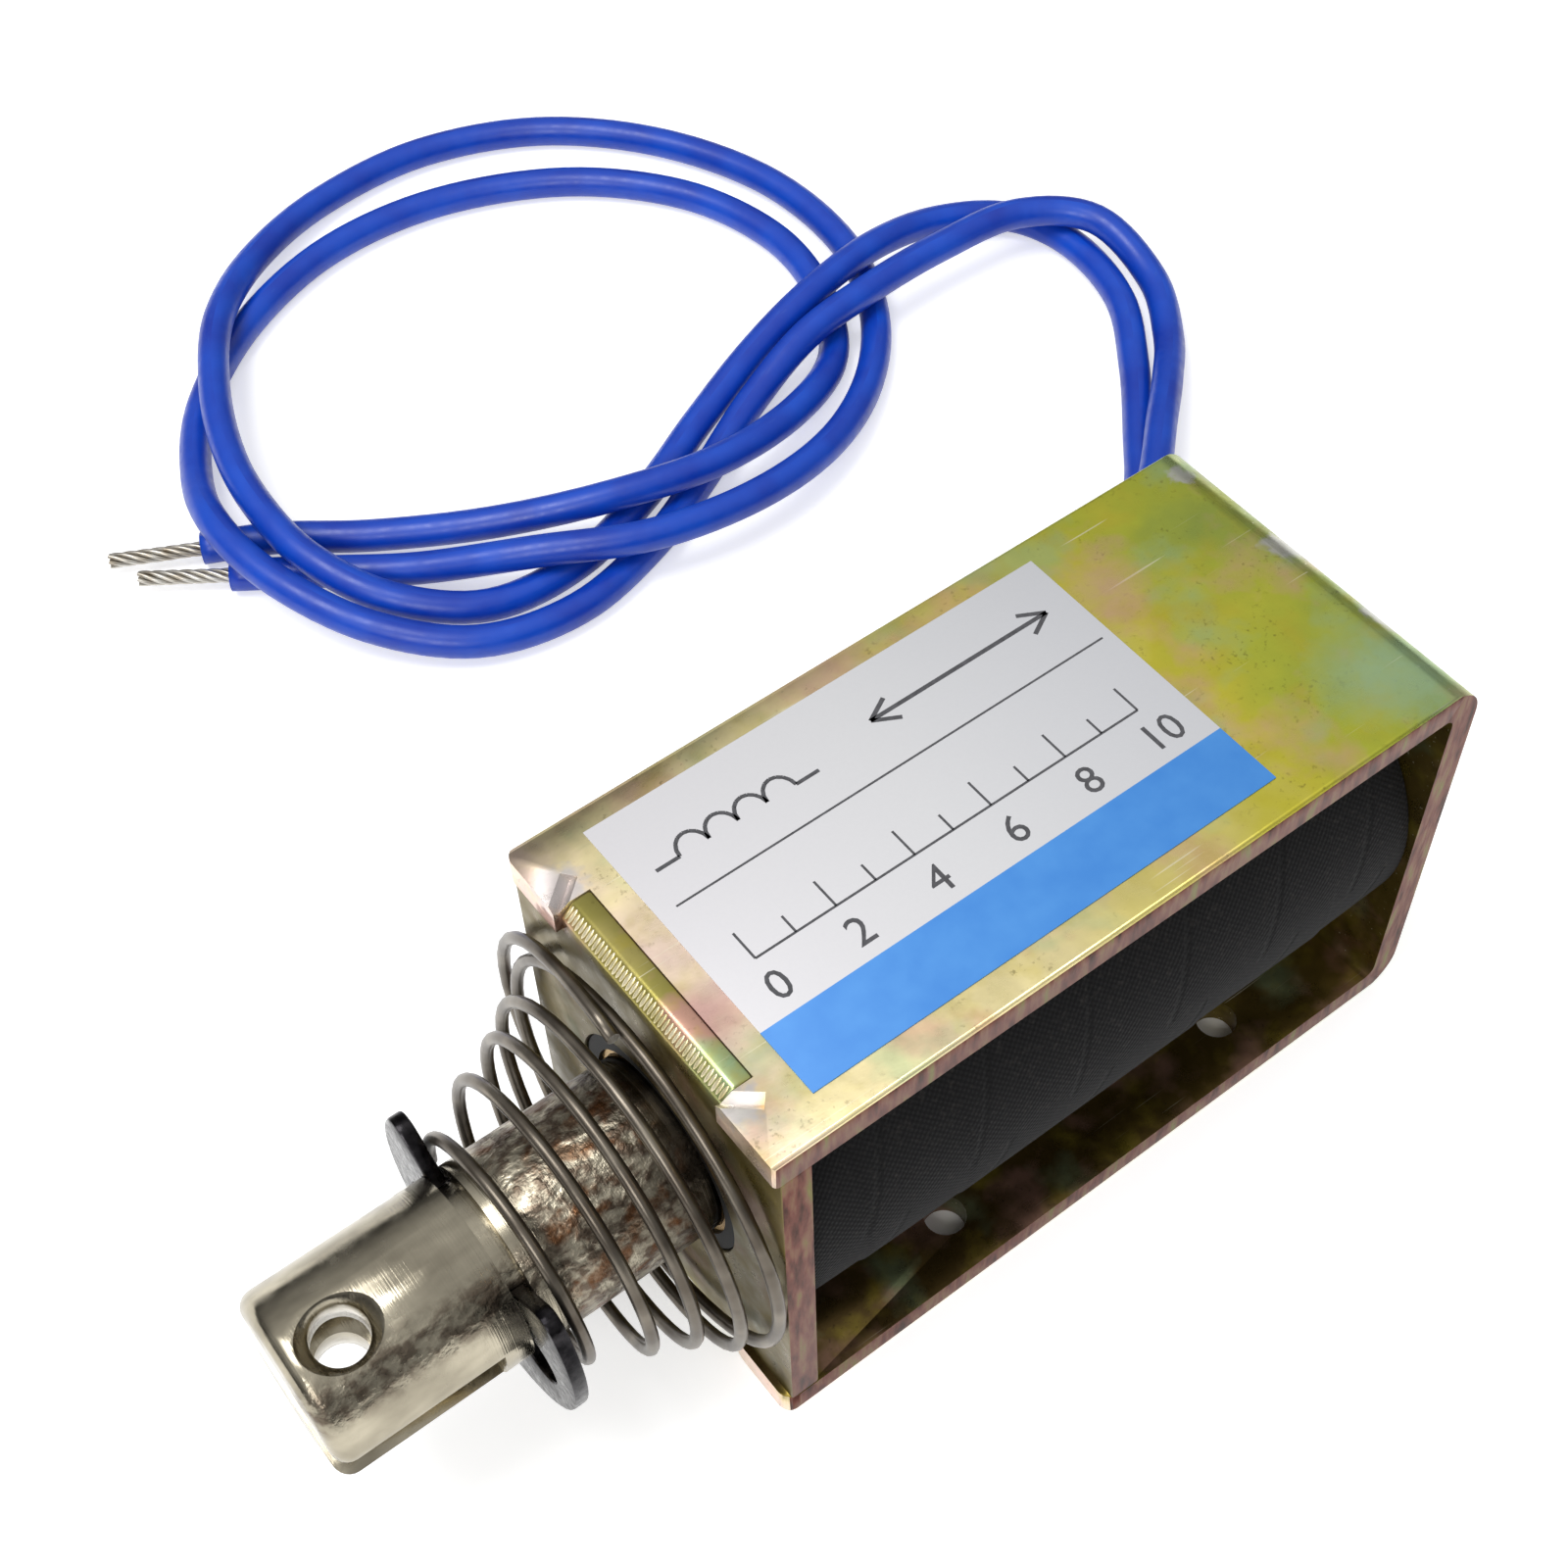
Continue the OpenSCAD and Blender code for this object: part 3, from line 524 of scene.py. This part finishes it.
def solid_copy(name, node, material, width):
    """A copy of a CAD node with its sharp edges broken by a small bevel, width in millimetres."""
    sharp_angle, flat_angle, smooth_angle = (math.radians(degrees) for degrees in (40, 0.6, 28))
    mesh = bpy.data.meshes.new(name)
    work = bmesh.new()
    work.from_mesh(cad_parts[node].data)
    bmesh.ops.remove_doubles(work, verts=work.verts, dist=2e-6)
    bmesh.ops.dissolve_limit(work, angle_limit=flat_angle, verts=work.verts, edges=work.edges)
    sharp = [e for e in work.edges if len(e.link_faces) == 2
             and e.calc_face_angle(0) > sharp_angle and e.calc_length() > width * MM]
    bmesh.ops.bevel(work, geom=sharp, offset=width * MM, segments=2, profile=0.5,
                    affect="EDGES", clamp_overlap=True, offset_type="OFFSET")
    bmesh.ops.triangulate(work, faces=[f for f in work.faces if len(f.verts) > 4])
    for f in work.faces:
        f.smooth = True
    work.to_mesh(mesh)
    work.free()
    mesh.materials.append(material)
    mesh.set_sharp_from_angle(angle=smooth_angle)
    piece = in_scene(name, mesh)
    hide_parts(node)
    return piece


def finish_piece(piece, body):
    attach(piece, body)
    return piece


# ---- pieces made from the solid model ----

def is_cut_edge(face):
    return abs(face.normal.y) > 0.8 and abs(face.center.y) > (BODY_W / 2 - 0.5) * MM


def is_inner_face(face):
    """A face between the legs, in front of the rear leg."""
    between_legs = (SHEET - 0.1) * MM < face.center.z < (BODY_H - SHEET + 0.1) * MM
    return between_legs and face.center.x < at(BODY_L - SHEET + 0.1, 0, 0).x


def is_base_hole(face):
    """A face on the wall of one of the four holes in the bottom leg."""
    in_sheet = 0.4 * MM < face.center.z < SHEET * MM and abs(face.normal.z) < 0.3
    return in_sheet and abs(face.center.y) < 13 * MM and abs(face.center.x) < 17 * MM


yoke = solid_copy("yoke_strip", "yoke_frame", STRIP, 0.2)
yoke.data.materials.append(EDGE)
yoke.data.materials.append(SHADED_INSIDE)
# Faces between the legs and on the walls of the base holes take the darker inner film: painted shade.
for face in yoke.data.polygons:
    if is_cut_edge(face):
        face.material_index = 1
    elif is_inner_face(face) or is_base_hole(face):
        face.material_index = 2
finish_piece(yoke, "frame")

plate = solid_copy("end_plate", "front_plate", PLATE, 0.2)
plate.data.materials.append(EDGE)
for face in plate.data.polygons:
    face.material_index = 1 if is_cut_edge(face) else 0
finish_piece(plate, "frame")

finish_piece(solid_copy("turned_plunger", "plunger", NICKEL, 0.15), "plunger")
finish_piece(solid_copy("retaining_clip", "e_clip", OXIDE, 0.2), "clip")
finish_piece(solid_copy("output_rod", "push_rod", STEEL, 0.12), "plunger")
finish_piece(solid_copy("rod_clip", "rear_clip", OXIDE, 0.12), "plunger")
finish_piece(solid_copy("rod_washer", "rear_washer", WHITE_NYLON, 0.12), "frame")
finish_piece(solid_copy("coil_wrap", "coil_tape", TAPE, 0.2), "frame")
finish_piece(solid_copy("splice_wrap", "splice_patch", PATCH, 0.3), "frame")

# the film's face lies lower by the thickness of the print, whose top then stays in the solid's place
label = finish_piece(solid_copy("label_sheet", "rating_label", FILM, 0.03), "frame")
for vertex in label.data.vertices:
    if vertex.co.z > (BODY_H + LABEL_T / 2) * MM:
        vertex.co.z -= PRINT_T * MM

for node, material in (("bobbin", NYLON), ("coil_winding", COPPER), ("guide_tube", BRASS),
                       ("fixed_core", STEEL), ("residual_washer", BRASS)):
    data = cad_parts[node].data
    for i in range(len(data.materials)):
        data.materials[i] = material


# ---- the return spring ----

SPRING_R, SPRING_GROWTH, SPRING_SIDE = 8.85, 7.25, 0.15
SPRING_X, SPRING_LENGTH, SPRING_WIRE_R = -13.1, 13.08, 0.5
# turns from the clip, share of the growth in radius, share of the length
SPRING_TURNS = (
    (0.0, 0.00, 0.00), (0.5, 0.11, 0.06), (0.75, 0.19, 0.16), (1.0, 0.32, 0.31),
    (1.5, 0.39, 0.365), (2.0, 0.515, 0.57), (2.5, 0.57, 0.585), (3.0, 0.72, 0.745),
    (3.5, 0.82, 0.77), (4.0, 1.005, 0.95), (4.5, 0.98, 0.965), (4.75, 1.065, 0.955),
    (5.05, 1.34, 0.975), (5.25, 1.065, 0.88))


def spring_points(steps=48, reach=7):
    """The wire's middle line, with that many steps to a turn. Each point is eased over its
    neighbours within reach."""
    turns, growth, run = zip(*SPRING_TURNS)
    t = np.linspace(0, turns[-1], int(turns[-1] * steps) + 1)
    window = np.hanning(2 * reach + 1)
    window = window / window.sum()

    def eased(values):
        plain = np.pad(np.interp(t, turns, values), reach, mode="reflect", reflect_type="odd")
        return np.convolve(plain, window, mode="valid")

    r = SPRING_R + SPRING_GROWTH * eased(growth)
    x = SPRING_X + SPRING_LENGTH * eased(run)
    y = SPRING_SIDE + r * np.cos(2 * np.pi * t)
    z = AXIS_Z + r * np.sin(2 * np.pi * t)
    return [at(*place) for place in zip(x, y, z)]


spring = tube_mesh("conical_spring", spring_points(), SPRING_WIRE_R * MM, 16, SPRING_WIRE)
spring.data.materials.append(WIRE_END)
for face in spring.data.polygons:
    if len(face.vertices) > 4:
        face.material_index = 1
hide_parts("return_spring")
finish_piece(spring, "frame")
# with the plunger in, 4.1 of the 14.1 mm between the clip and the plate are left for the spring
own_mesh(spring)


# ---- what repeats, by Geometry Nodes ----

def grown(name, build, material, sizes):
    """Runs a Geometry Nodes tree with those named sizes, and keeps the result as a plain mesh."""
    tree = bpy.data.node_groups.new(name, "GeometryNodeTree")
    tree.interface.new_socket("Geometry", in_out="OUTPUT", socket_type="NodeSocketGeometry")
    sockets = {}
    for key, value in sizes.items():
        kind = "NodeSocketInt" if isinstance(value, int) else "NodeSocketFloat"
        sockets[key] = tree.interface.new_socket(key, in_out="INPUT", socket_type=kind).identifier
    add = partial(add_node, tree)
    real = add("GeometryNodeRealizeInstances", {0: build(add, add("NodeGroupInput").outputs)})
    coat = add("GeometryNodeSetMaterial", {0: real, "Material": material})
    add("NodeGroupOutput", {0: coat})

    host = in_scene(name + "_host", bpy.data.meshes.new(name + "_host"))
    modifier = host.modifiers.new("grow", "NODES")
    modifier.node_group = tree
    for key, value in sizes.items():
        modifier[sockets[key]] = value
    ready = host.evaluated_get(bpy.context.evaluated_depsgraph_get())
    mesh = bpy.data.meshes.new_from_object(ready)
    bpy.data.objects.remove(host)
    mesh.name = name
    mesh.polygons.foreach_set("use_smooth", [True] * len(mesh.polygons))
    return in_scene(name, mesh)


RIBS, RIB_PITCH, RIB_HALF = 45, 0.4, 0.5


def tab_ribs(add, given):
    """Shear marks across the slope of the plate's tab, one small rib beside the next."""
    slope = math.radians(-43.6)
    first = at(1.02, -(RIBS - 1) / 2 * RIB_PITCH, BODY_H - 0.48)
    step = add("ShaderNodeCombineXYZ", {1: given["Pitch"]})
    line = add("GeometryNodeMeshLine", {"Count": given["Ribs"], "Start Location": first, "Offset": step})
    rib = add("GeometryNodeMeshUVSphere", {"Segments": 12, "Rings": 8, "Radius": given["Half length"]})
    uneven = add("FunctionNodeRandomValue", {2: 0.85, 3: 1.1, "Seed": 4}, data_type="FLOAT")
    shape = add("ShaderNodeCombineXYZ", {0: 1.25, 1: 0.34, 2: 0.2})
    scale = add("ShaderNodeVectorMath", {0: shape, 3: uneven}, operation="SCALE")
    return add("GeometryNodeInstanceOnPoints", {"Points": line, "Instance": rib, "Scale": scale,
                                                "Rotation": (0, slope, 0)})


ribs = grown("tab_shear_ribs", tab_ribs, RIDGES,
             {"Ribs": RIBS, "Pitch": RIB_PITCH * MM, "Half length": RIB_HALF * MM})
finish_piece(ribs, "frame")


def twisted_wires(add, given):
    """One straight wire and six wound round it, fraying towards the end."""
    end = add("ShaderNodeCombineXYZ", {2: given["Length"]})
    line = add("GeometryNodeCurvePrimitiveLine", {"Start": (0, 0, 0), "End": end})
    line = add("GeometryNodeResampleCurve", {"Curve": line, "Count": given["Steps"]})
    copies = add("GeometryNodeDuplicateElements", {0: line, "Amount": given["Wires"]}, domain="SPLINE")
    number = copies.outputs[1]
    spot = add("ShaderNodeSeparateXYZ", {0: add("GeometryNodeInputPosition")})
    share = add("ShaderNodeMath", {0: spot.outputs[2], 1: given["Length"]}, operation="DIVIDE")
    start = add("ShaderNodeMath", {0: number, 1: 2 * math.pi / 6}, operation="MULTIPLY")
    angle = add("ShaderNodeMath", {0: share, 1: given["Twist"], 2: start}, operation="MULTIPLY_ADD")
    fray = add("ShaderNodeMath", {0: share, 1: 4.0}, operation="POWER")
    reach = add("ShaderNodeMath", {0: fray, 1: given["Fray"], 2: given["Lay radius"]},
                operation="MULTIPLY_ADD")
    wound = add("ShaderNodeMath", {0: number, 1: 0.5}, operation="GREATER_THAN")
    reach = add("ShaderNodeMath", {0: reach, 1: wound}, operation="MULTIPLY")
    across = add("ShaderNodeMath", {0: angle}, operation="COSINE")
    across = add("ShaderNodeMath", {0: across, 1: reach}, operation="MULTIPLY")
    up = add("ShaderNodeMath", {0: angle}, operation="SINE")
    up = add("ShaderNodeMath", {0: up, 1: reach}, operation="MULTIPLY")
    shift = add("ShaderNodeCombineXYZ", {0: across, 1: up})
    bent = add("GeometryNodeSetPosition", {0: copies, "Offset": shift})
    ring = add("GeometryNodeCurvePrimitiveCircle", {"Resolution": 8, "Radius": given["Wire radius"]})
    return add("GeometryNodeCurveToMesh", {0: bent, 1: ring, "Fill Caps": True})


# ---- the label's print: plain generic marks ----

INK_Z0, INK_Z1 = BODY_H + LABEL_T - PRINT_T - 0.005, BODY_H + LABEL_T
THIN, MIDDLE, THICK = 0.18, 0.3, 0.35


def ink_bars(name, bars):
    """Thin printed bars, each given as x0, y0, x1, y1 and a width, in millimetres."""
    verts, faces = [], []
    for x0, y0, x1, y1, width in bars:
        run = Vector((x1 - x0, y1 - y0)).normalized()
        side = Vector((-run.y, run.x)) * width / 2
        n = len(verts)
        for z in (INK_Z0, INK_Z1):
            for x, y, s in ((x0, y0, 1), (x0, y0, -1), (x1, y1, -1), (x1, y1, 1)):
                verts.append(at(x + s * side.x, y + s * side.y, z))
        faces += [(n + 3, n + 2, n + 1, n), (n + 4, n + 5, n + 6, n + 7)]
        faces += [(n + k, n + (k + 1) % 4, n + 4 + (k + 1) % 4, n + 4 + k) for k in range(4)]
    return mesh_piece(name, verts, faces, INK, smooth=False)


def digit_shapes(text, x, y, height):
    """A plain number as a mesh, middle at x, foot at y."""
    data = bpy.data.curves.new("digits", "FONT")
    data.body = text
    data.size = height * MM
    data.align_x = "CENTER"
    data.extrude = 0.5 * (INK_Z1 - INK_Z0) * MM
    data.resolution_u = 3
    holder = in_scene("digits", data)
    ready = holder.evaluated_get(bpy.context.evaluated_depsgraph_get())
    mesh = bpy.data.meshes.new_from_object(ready)
    bpy.data.objects.remove(holder)
    mesh.transform(Matrix.Translation(at(x, y, (INK_Z0 + INK_Z1) / 2)))
    return mesh


RULE = [(6.8, 4.4, 45.1, 4.4, 0.16)]
SCALE_X, SCALE_Y, SCALE_STEP = 8.5, -2.2, 3.4


def scale_bars():
    """A stroke scale: eleven ticks, the even ones longer."""
    bars = [(SCALE_X, SCALE_Y, SCALE_X + 10 * SCALE_STEP, SCALE_Y, THIN)]
    for i in range(11):
        x = SCALE_X + i * SCALE_STEP
        bars.append((x, SCALE_Y, x, -0.6 if i % 2 else 0.3, THIN))
    return bars


def arrow_bars(x0=27, x1=43.5, y=8.8, head_x=2, head_y=1.1):
    """A double arrow for the stroke."""
    heads = [(x, y, x + inward * head_x, y + s * head_y, THICK)
             for x, inward in ((x0, 1), (x1, -1)) for s in (1, -1)]
    return [(x0, y, x1, y, THICK)] + heads


def winding_bars(x0=9.4, y=7.6, lead=2, loop_r=1.25, loop_h=1.5, loops=4, sides=8):
    """The winding's symbol: a row of half rounds between two straight leads."""
    x1 = x0 + 2 * loop_r * loops
    bars = [(x0 - lead, y, x0, y, MIDDLE), (x1, y, x1 + lead, y, MIDDLE)]
    for k in range(loops):
        x = x0 + (2 * k + 1) * loop_r
        for j in range(sides):
            a, b = math.pi * j / sides, math.pi * (j + 1) / sides
            bars.append((x - loop_r * math.cos(a), y + loop_h * math.sin(a),
                         x - loop_r * math.cos(b), y + loop_h * math.sin(b), MIDDLE))
    return bars


marks = ink_bars("label_marks", RULE + scale_bars() + arrow_bars() + winding_bars())
finish_piece(marks, "frame")

digits = bmesh.new()
for i in range(0, 11, 2):
    part = digit_shapes(str(i), SCALE_X + i * SCALE_STEP, -5.9, 3.4)
    digits.from_mesh(part)
    bpy.data.meshes.remove(part)
bmesh.ops.remove_doubles(digits, verts=digits.verts, dist=1e-7)
numbers = bpy.data.meshes.new("label_numbers")
digits.to_mesh(numbers)
digits.free()
numbers.materials.clear()
numbers.materials.append(INK)
finish_piece(in_scene("label_numbers", numbers), "frame")


# ---- the leads, in millimetres from the yoke's rear face and wire side ----

EXIT_Y = PATCH_R + 0.05 - BODY_W / 2
WAY_A = [
    (-8, EXIT_Y, 19.5), (-7.8, 5.8, 19.2), (-6.4, 9.6, 17), (-2.2, 12.4, 12.2), (4.4, 13.6, 8),
    (12.6, 15.2, 5.6), (20.4, 21, 5.2), (26.4, 26.4, 4.9), (31.8, 31.2, 3.9), (37.4, 36.9, 2.6),
    (42, 44.5, 2.8), (42, 53.5, 4.8), (35.5, 59, 5.4), (25.5, 60, 5.4), (15.5, 59.5, 5.4),
    (6.5, 58.5, 4.8), (-2.5, 56, 2.6), (-11.5, 51.5, 1.8), (-21, 47, 1.7), (-31.5, 44.5, 1.8),
    (-41.5, 46.5, 2.4), (-49, 53.5, 3.6), (-53.5, 63, 5), (-54.5, 72.5, 5.2), (-52, 82, 3),
    (-46, 92, 1.8), (-36, 100, 1.7), (-23.5, 104.5, 1.8), (-10, 104, 1.7), (3, 98, 1.7),
    (12, 88, 1.7), (15.5, 76.5, 1.7), (14, 66, 1.8), (9, 57, 1.8), (0, 51.5, 3.6), (-11, 49.5, 5),
    (-22, 52, 5), (-32.5, 57.5, 3.6), (-42, 64.5, 2.2), (-49.5, 70.5, 1.8), (-56, 74, 1.7)]
WAY_B = [
    (-11.5, EXIT_Y, 19.5), (-11.4, 6.6, 19.3), (-10.2, 11.6, 16.4), (-6, 15.4, 10.9),
    (1.8, 17, 5.6), (11.4, 17.6, 2.3), (19.6, 22, 1.7), (26.1, 29, 1.7), (32.5, 36.7, 1.7),
    (38, 45, 1.8), (40, 54.5, 1.7), (37.5, 62, 2), (30, 65.5, 3.2), (20.5, 65, 5), (10.5, 63, 5.2),
    (1.5, 61, 3.6), (-8, 57.5, 2.2), (-17.5, 53, 1.8), (-28, 49.5, 1.7), (-38, 50, 2),
    (-45.5, 55.5, 3.4), (-49.5, 63.5, 5), (-50, 72.5, 5.4), (-48.5, 81, 5.4), (-45, 90, 5.4),
    (-39.5, 99, 5), (-31, 107, 3.2), (-20, 112, 2), (-7, 112.5, 1.8), (5.5, 107.5, 1.7),
    (15, 97.5, 1.7), (20.5, 84.5, 1.8), (21, 71.5, 1.7), (17, 60.5, 1.8), (10, 52, 2.2),
    (0.5, 46, 3.4), (-10.5, 43.5, 4.8), (-22, 45, 5.4), (-32, 50.5, 5), (-41, 57.5, 2.8),
    (-48.5, 64, 1.8), (-55.5, 69, 1.8)]
LEAD_R = 1.6
STRAND_SIZES = {"Length": 9.0 * MM, "Steps": 28, "Wires": 7, "Wire radius": 0.23 * MM,
                "Lay radius": 0.5 * MM, "Fray": 0.06 * MM, "Twist": 7.0}


def smooth_way(points, steps):
    """A Catmull-Rom curve through the points."""
    p = [2 * points[0] - points[1], *points, 2 * points[-1] - points[-2]]
    out = []
    for a, b, c, d in zip(p, p[1:], p[2:], p[3:]):
        for i in range(steps):
            t = i / steps
            out.append(0.5 * (2 * b + (c - a) * t + (2 * a - 5 * b + 4 * c - d) * t ** 2
                              + (3 * b - a - 3 * c + d) * t ** 3))
    return out + [points[-1]]


def make_lead(name, way):
    corners = [at(x + BODY_L, y + BODY_W / 2, z) for x, y, z in way]
    points = smooth_way(corners, 8)
    piece = tube_mesh(name + "_insulation", points, LEAD_R * MM, 20, BLUE_PVC)
    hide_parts(name)
    finish_piece(piece, "frame")

    ends = grown(name + "_twisted_wires", twisted_wires, TINNED, STRAND_SIZES)
    heading = (corners[-1] - corners[-2]).normalized().to_track_quat("Z", "Y").to_matrix().to_4x4()
    ends.data.transform(Matrix.Translation(corners[-1]) @ heading)
    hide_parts(name + "_strands")
    finish_piece(ends, "frame")


make_lead("lead_a", WAY_A)
make_lead("lead_b", WAY_B)


# ---- the stage ----

def lay_floor(half=3.0):
    """White paper that keeps the object's shadow. It glows where the camera and mirrors see it, but not
    under the body: no light gets in there, and the glow is cut out as a painted shadow."""
    material = bpy.data.materials.new("stage_white")
    material.use_nodes = True
    tree = material.node_tree
    tree.nodes.clear()
    add = partial(add_node, tree)
    paper = add("ShaderNodeBsdfDiffuse", {"Color": (0.85, 0.85, 0.85, 1)})
    path = add("ShaderNodeLightPath").outputs
    seen = add("ShaderNodeMath", {0: path["Is Camera Ray"], 1: path["Is Glossy Ray"]}, operation="MAXIMUM")
    seen = add("ShaderNodeMath", {0: seen, 1: path["Is Transmission Ray"]}, operation="MAXIMUM")
    spot = add("ShaderNodeSeparateXYZ", {0: add("ShaderNodeTexCoord").outputs["Object"]})
    soft_rim = 0.004
    glow_outside_painted_shadow = 0.0
    for axis, middle, reach in ((0, at(BODY_L / 2, 0, 0).x, BODY_L / 2 * MM), (1, 0.0, BODY_W / 2 * MM)):
        away = add("ShaderNodeMath", {0: spot.outputs[axis], 1: middle}, operation="SUBTRACT")
        away = add("ShaderNodeMath", {0: away}, operation="ABSOLUTE")
        away = add("ShaderNodeMapRange", {0: away, 1: reach - soft_rim, 2: reach, 3: 0.0, 4: 1.0})
        glow_outside_painted_shadow = add("ShaderNodeMath", {0: away, 1: glow_outside_painted_shadow}, operation="MAXIMUM")
    seen = add("ShaderNodeMath", {0: seen, 1: glow_outside_painted_shadow}, operation="MULTIPLY")
    dark = add("ShaderNodeEmission", {"Color": (0, 0, 0, 1), "Strength": 0})
    glow = add("ShaderNodeEmission", {"Color": (1, 1, 1, 1), "Strength": 0.5})
    glow = add("ShaderNodeMixShader", {0: seen, 1: dark, 2: glow})
    both = add("ShaderNodeAddShader", {0: paper, 1: glow})
    add("ShaderNodeOutputMaterial", {"Surface": both})
    corners = [(-half, -half, 0), (half, -half, 0), (half, half, 0), (-half, half, 0)]
    mesh_piece("floor", corners, [(0, 1, 2, 3)], material, smooth=False)


def hang_sky():
    """Brighter overhead than at the sides, as under a soft box, so that metal shows its form."""
    world = bpy.data.worlds.new("studio")
    bpy.context.scene.world = world
    world.use_nodes = True
    tree = world.node_tree
    tree.nodes.clear()
    add = partial(add_node, tree)
    sky = add("ShaderNodeSeparateXYZ", {0: add("ShaderNodeTexCoord").outputs["Generated"]})
    level = add("ShaderNodeMapRange", {0: sky.outputs[2], 1: 0.1, 2: 0.95, 3: 0.08, 4: 0.75})
    light = add("ShaderNodeBackground", {"Color": (1, 1, 1, 1), "Strength": level})
    white = add("ShaderNodeBackground", {"Color": (1, 1, 1, 1), "Strength": 1.0})
    seen = add("ShaderNodeLightPath").outputs["Is Camera Ray"]
    both = add("ShaderNodeMixShader", {0: seen, 1: light, 2: white})
    add("ShaderNodeOutputWorld", {"Surface": both})


def place_lamp(name, place, size, watts, aim=(0, 0.03, 0.02)):
    data = bpy.data.lights.new(name, "AREA")
    data.size = size
    data.energy = watts
    lamp = in_scene(name, data)
    lamp.location = place
    lamp.rotation_mode = "QUATERNION"
    lamp.rotation_quaternion = (Vector(aim) - Vector(place)).to_track_quat("-Z", "Y")


lay_floor()
hang_sky()
place_lamp("key", (-0.3, 0.12, 0.8), 0.4, 3.6)
place_lamp("fill", (-0.6, -0.5, 0.6), 0.35, 3.0)
bpy.context.scene.view_settings.view_transform = "Standard"
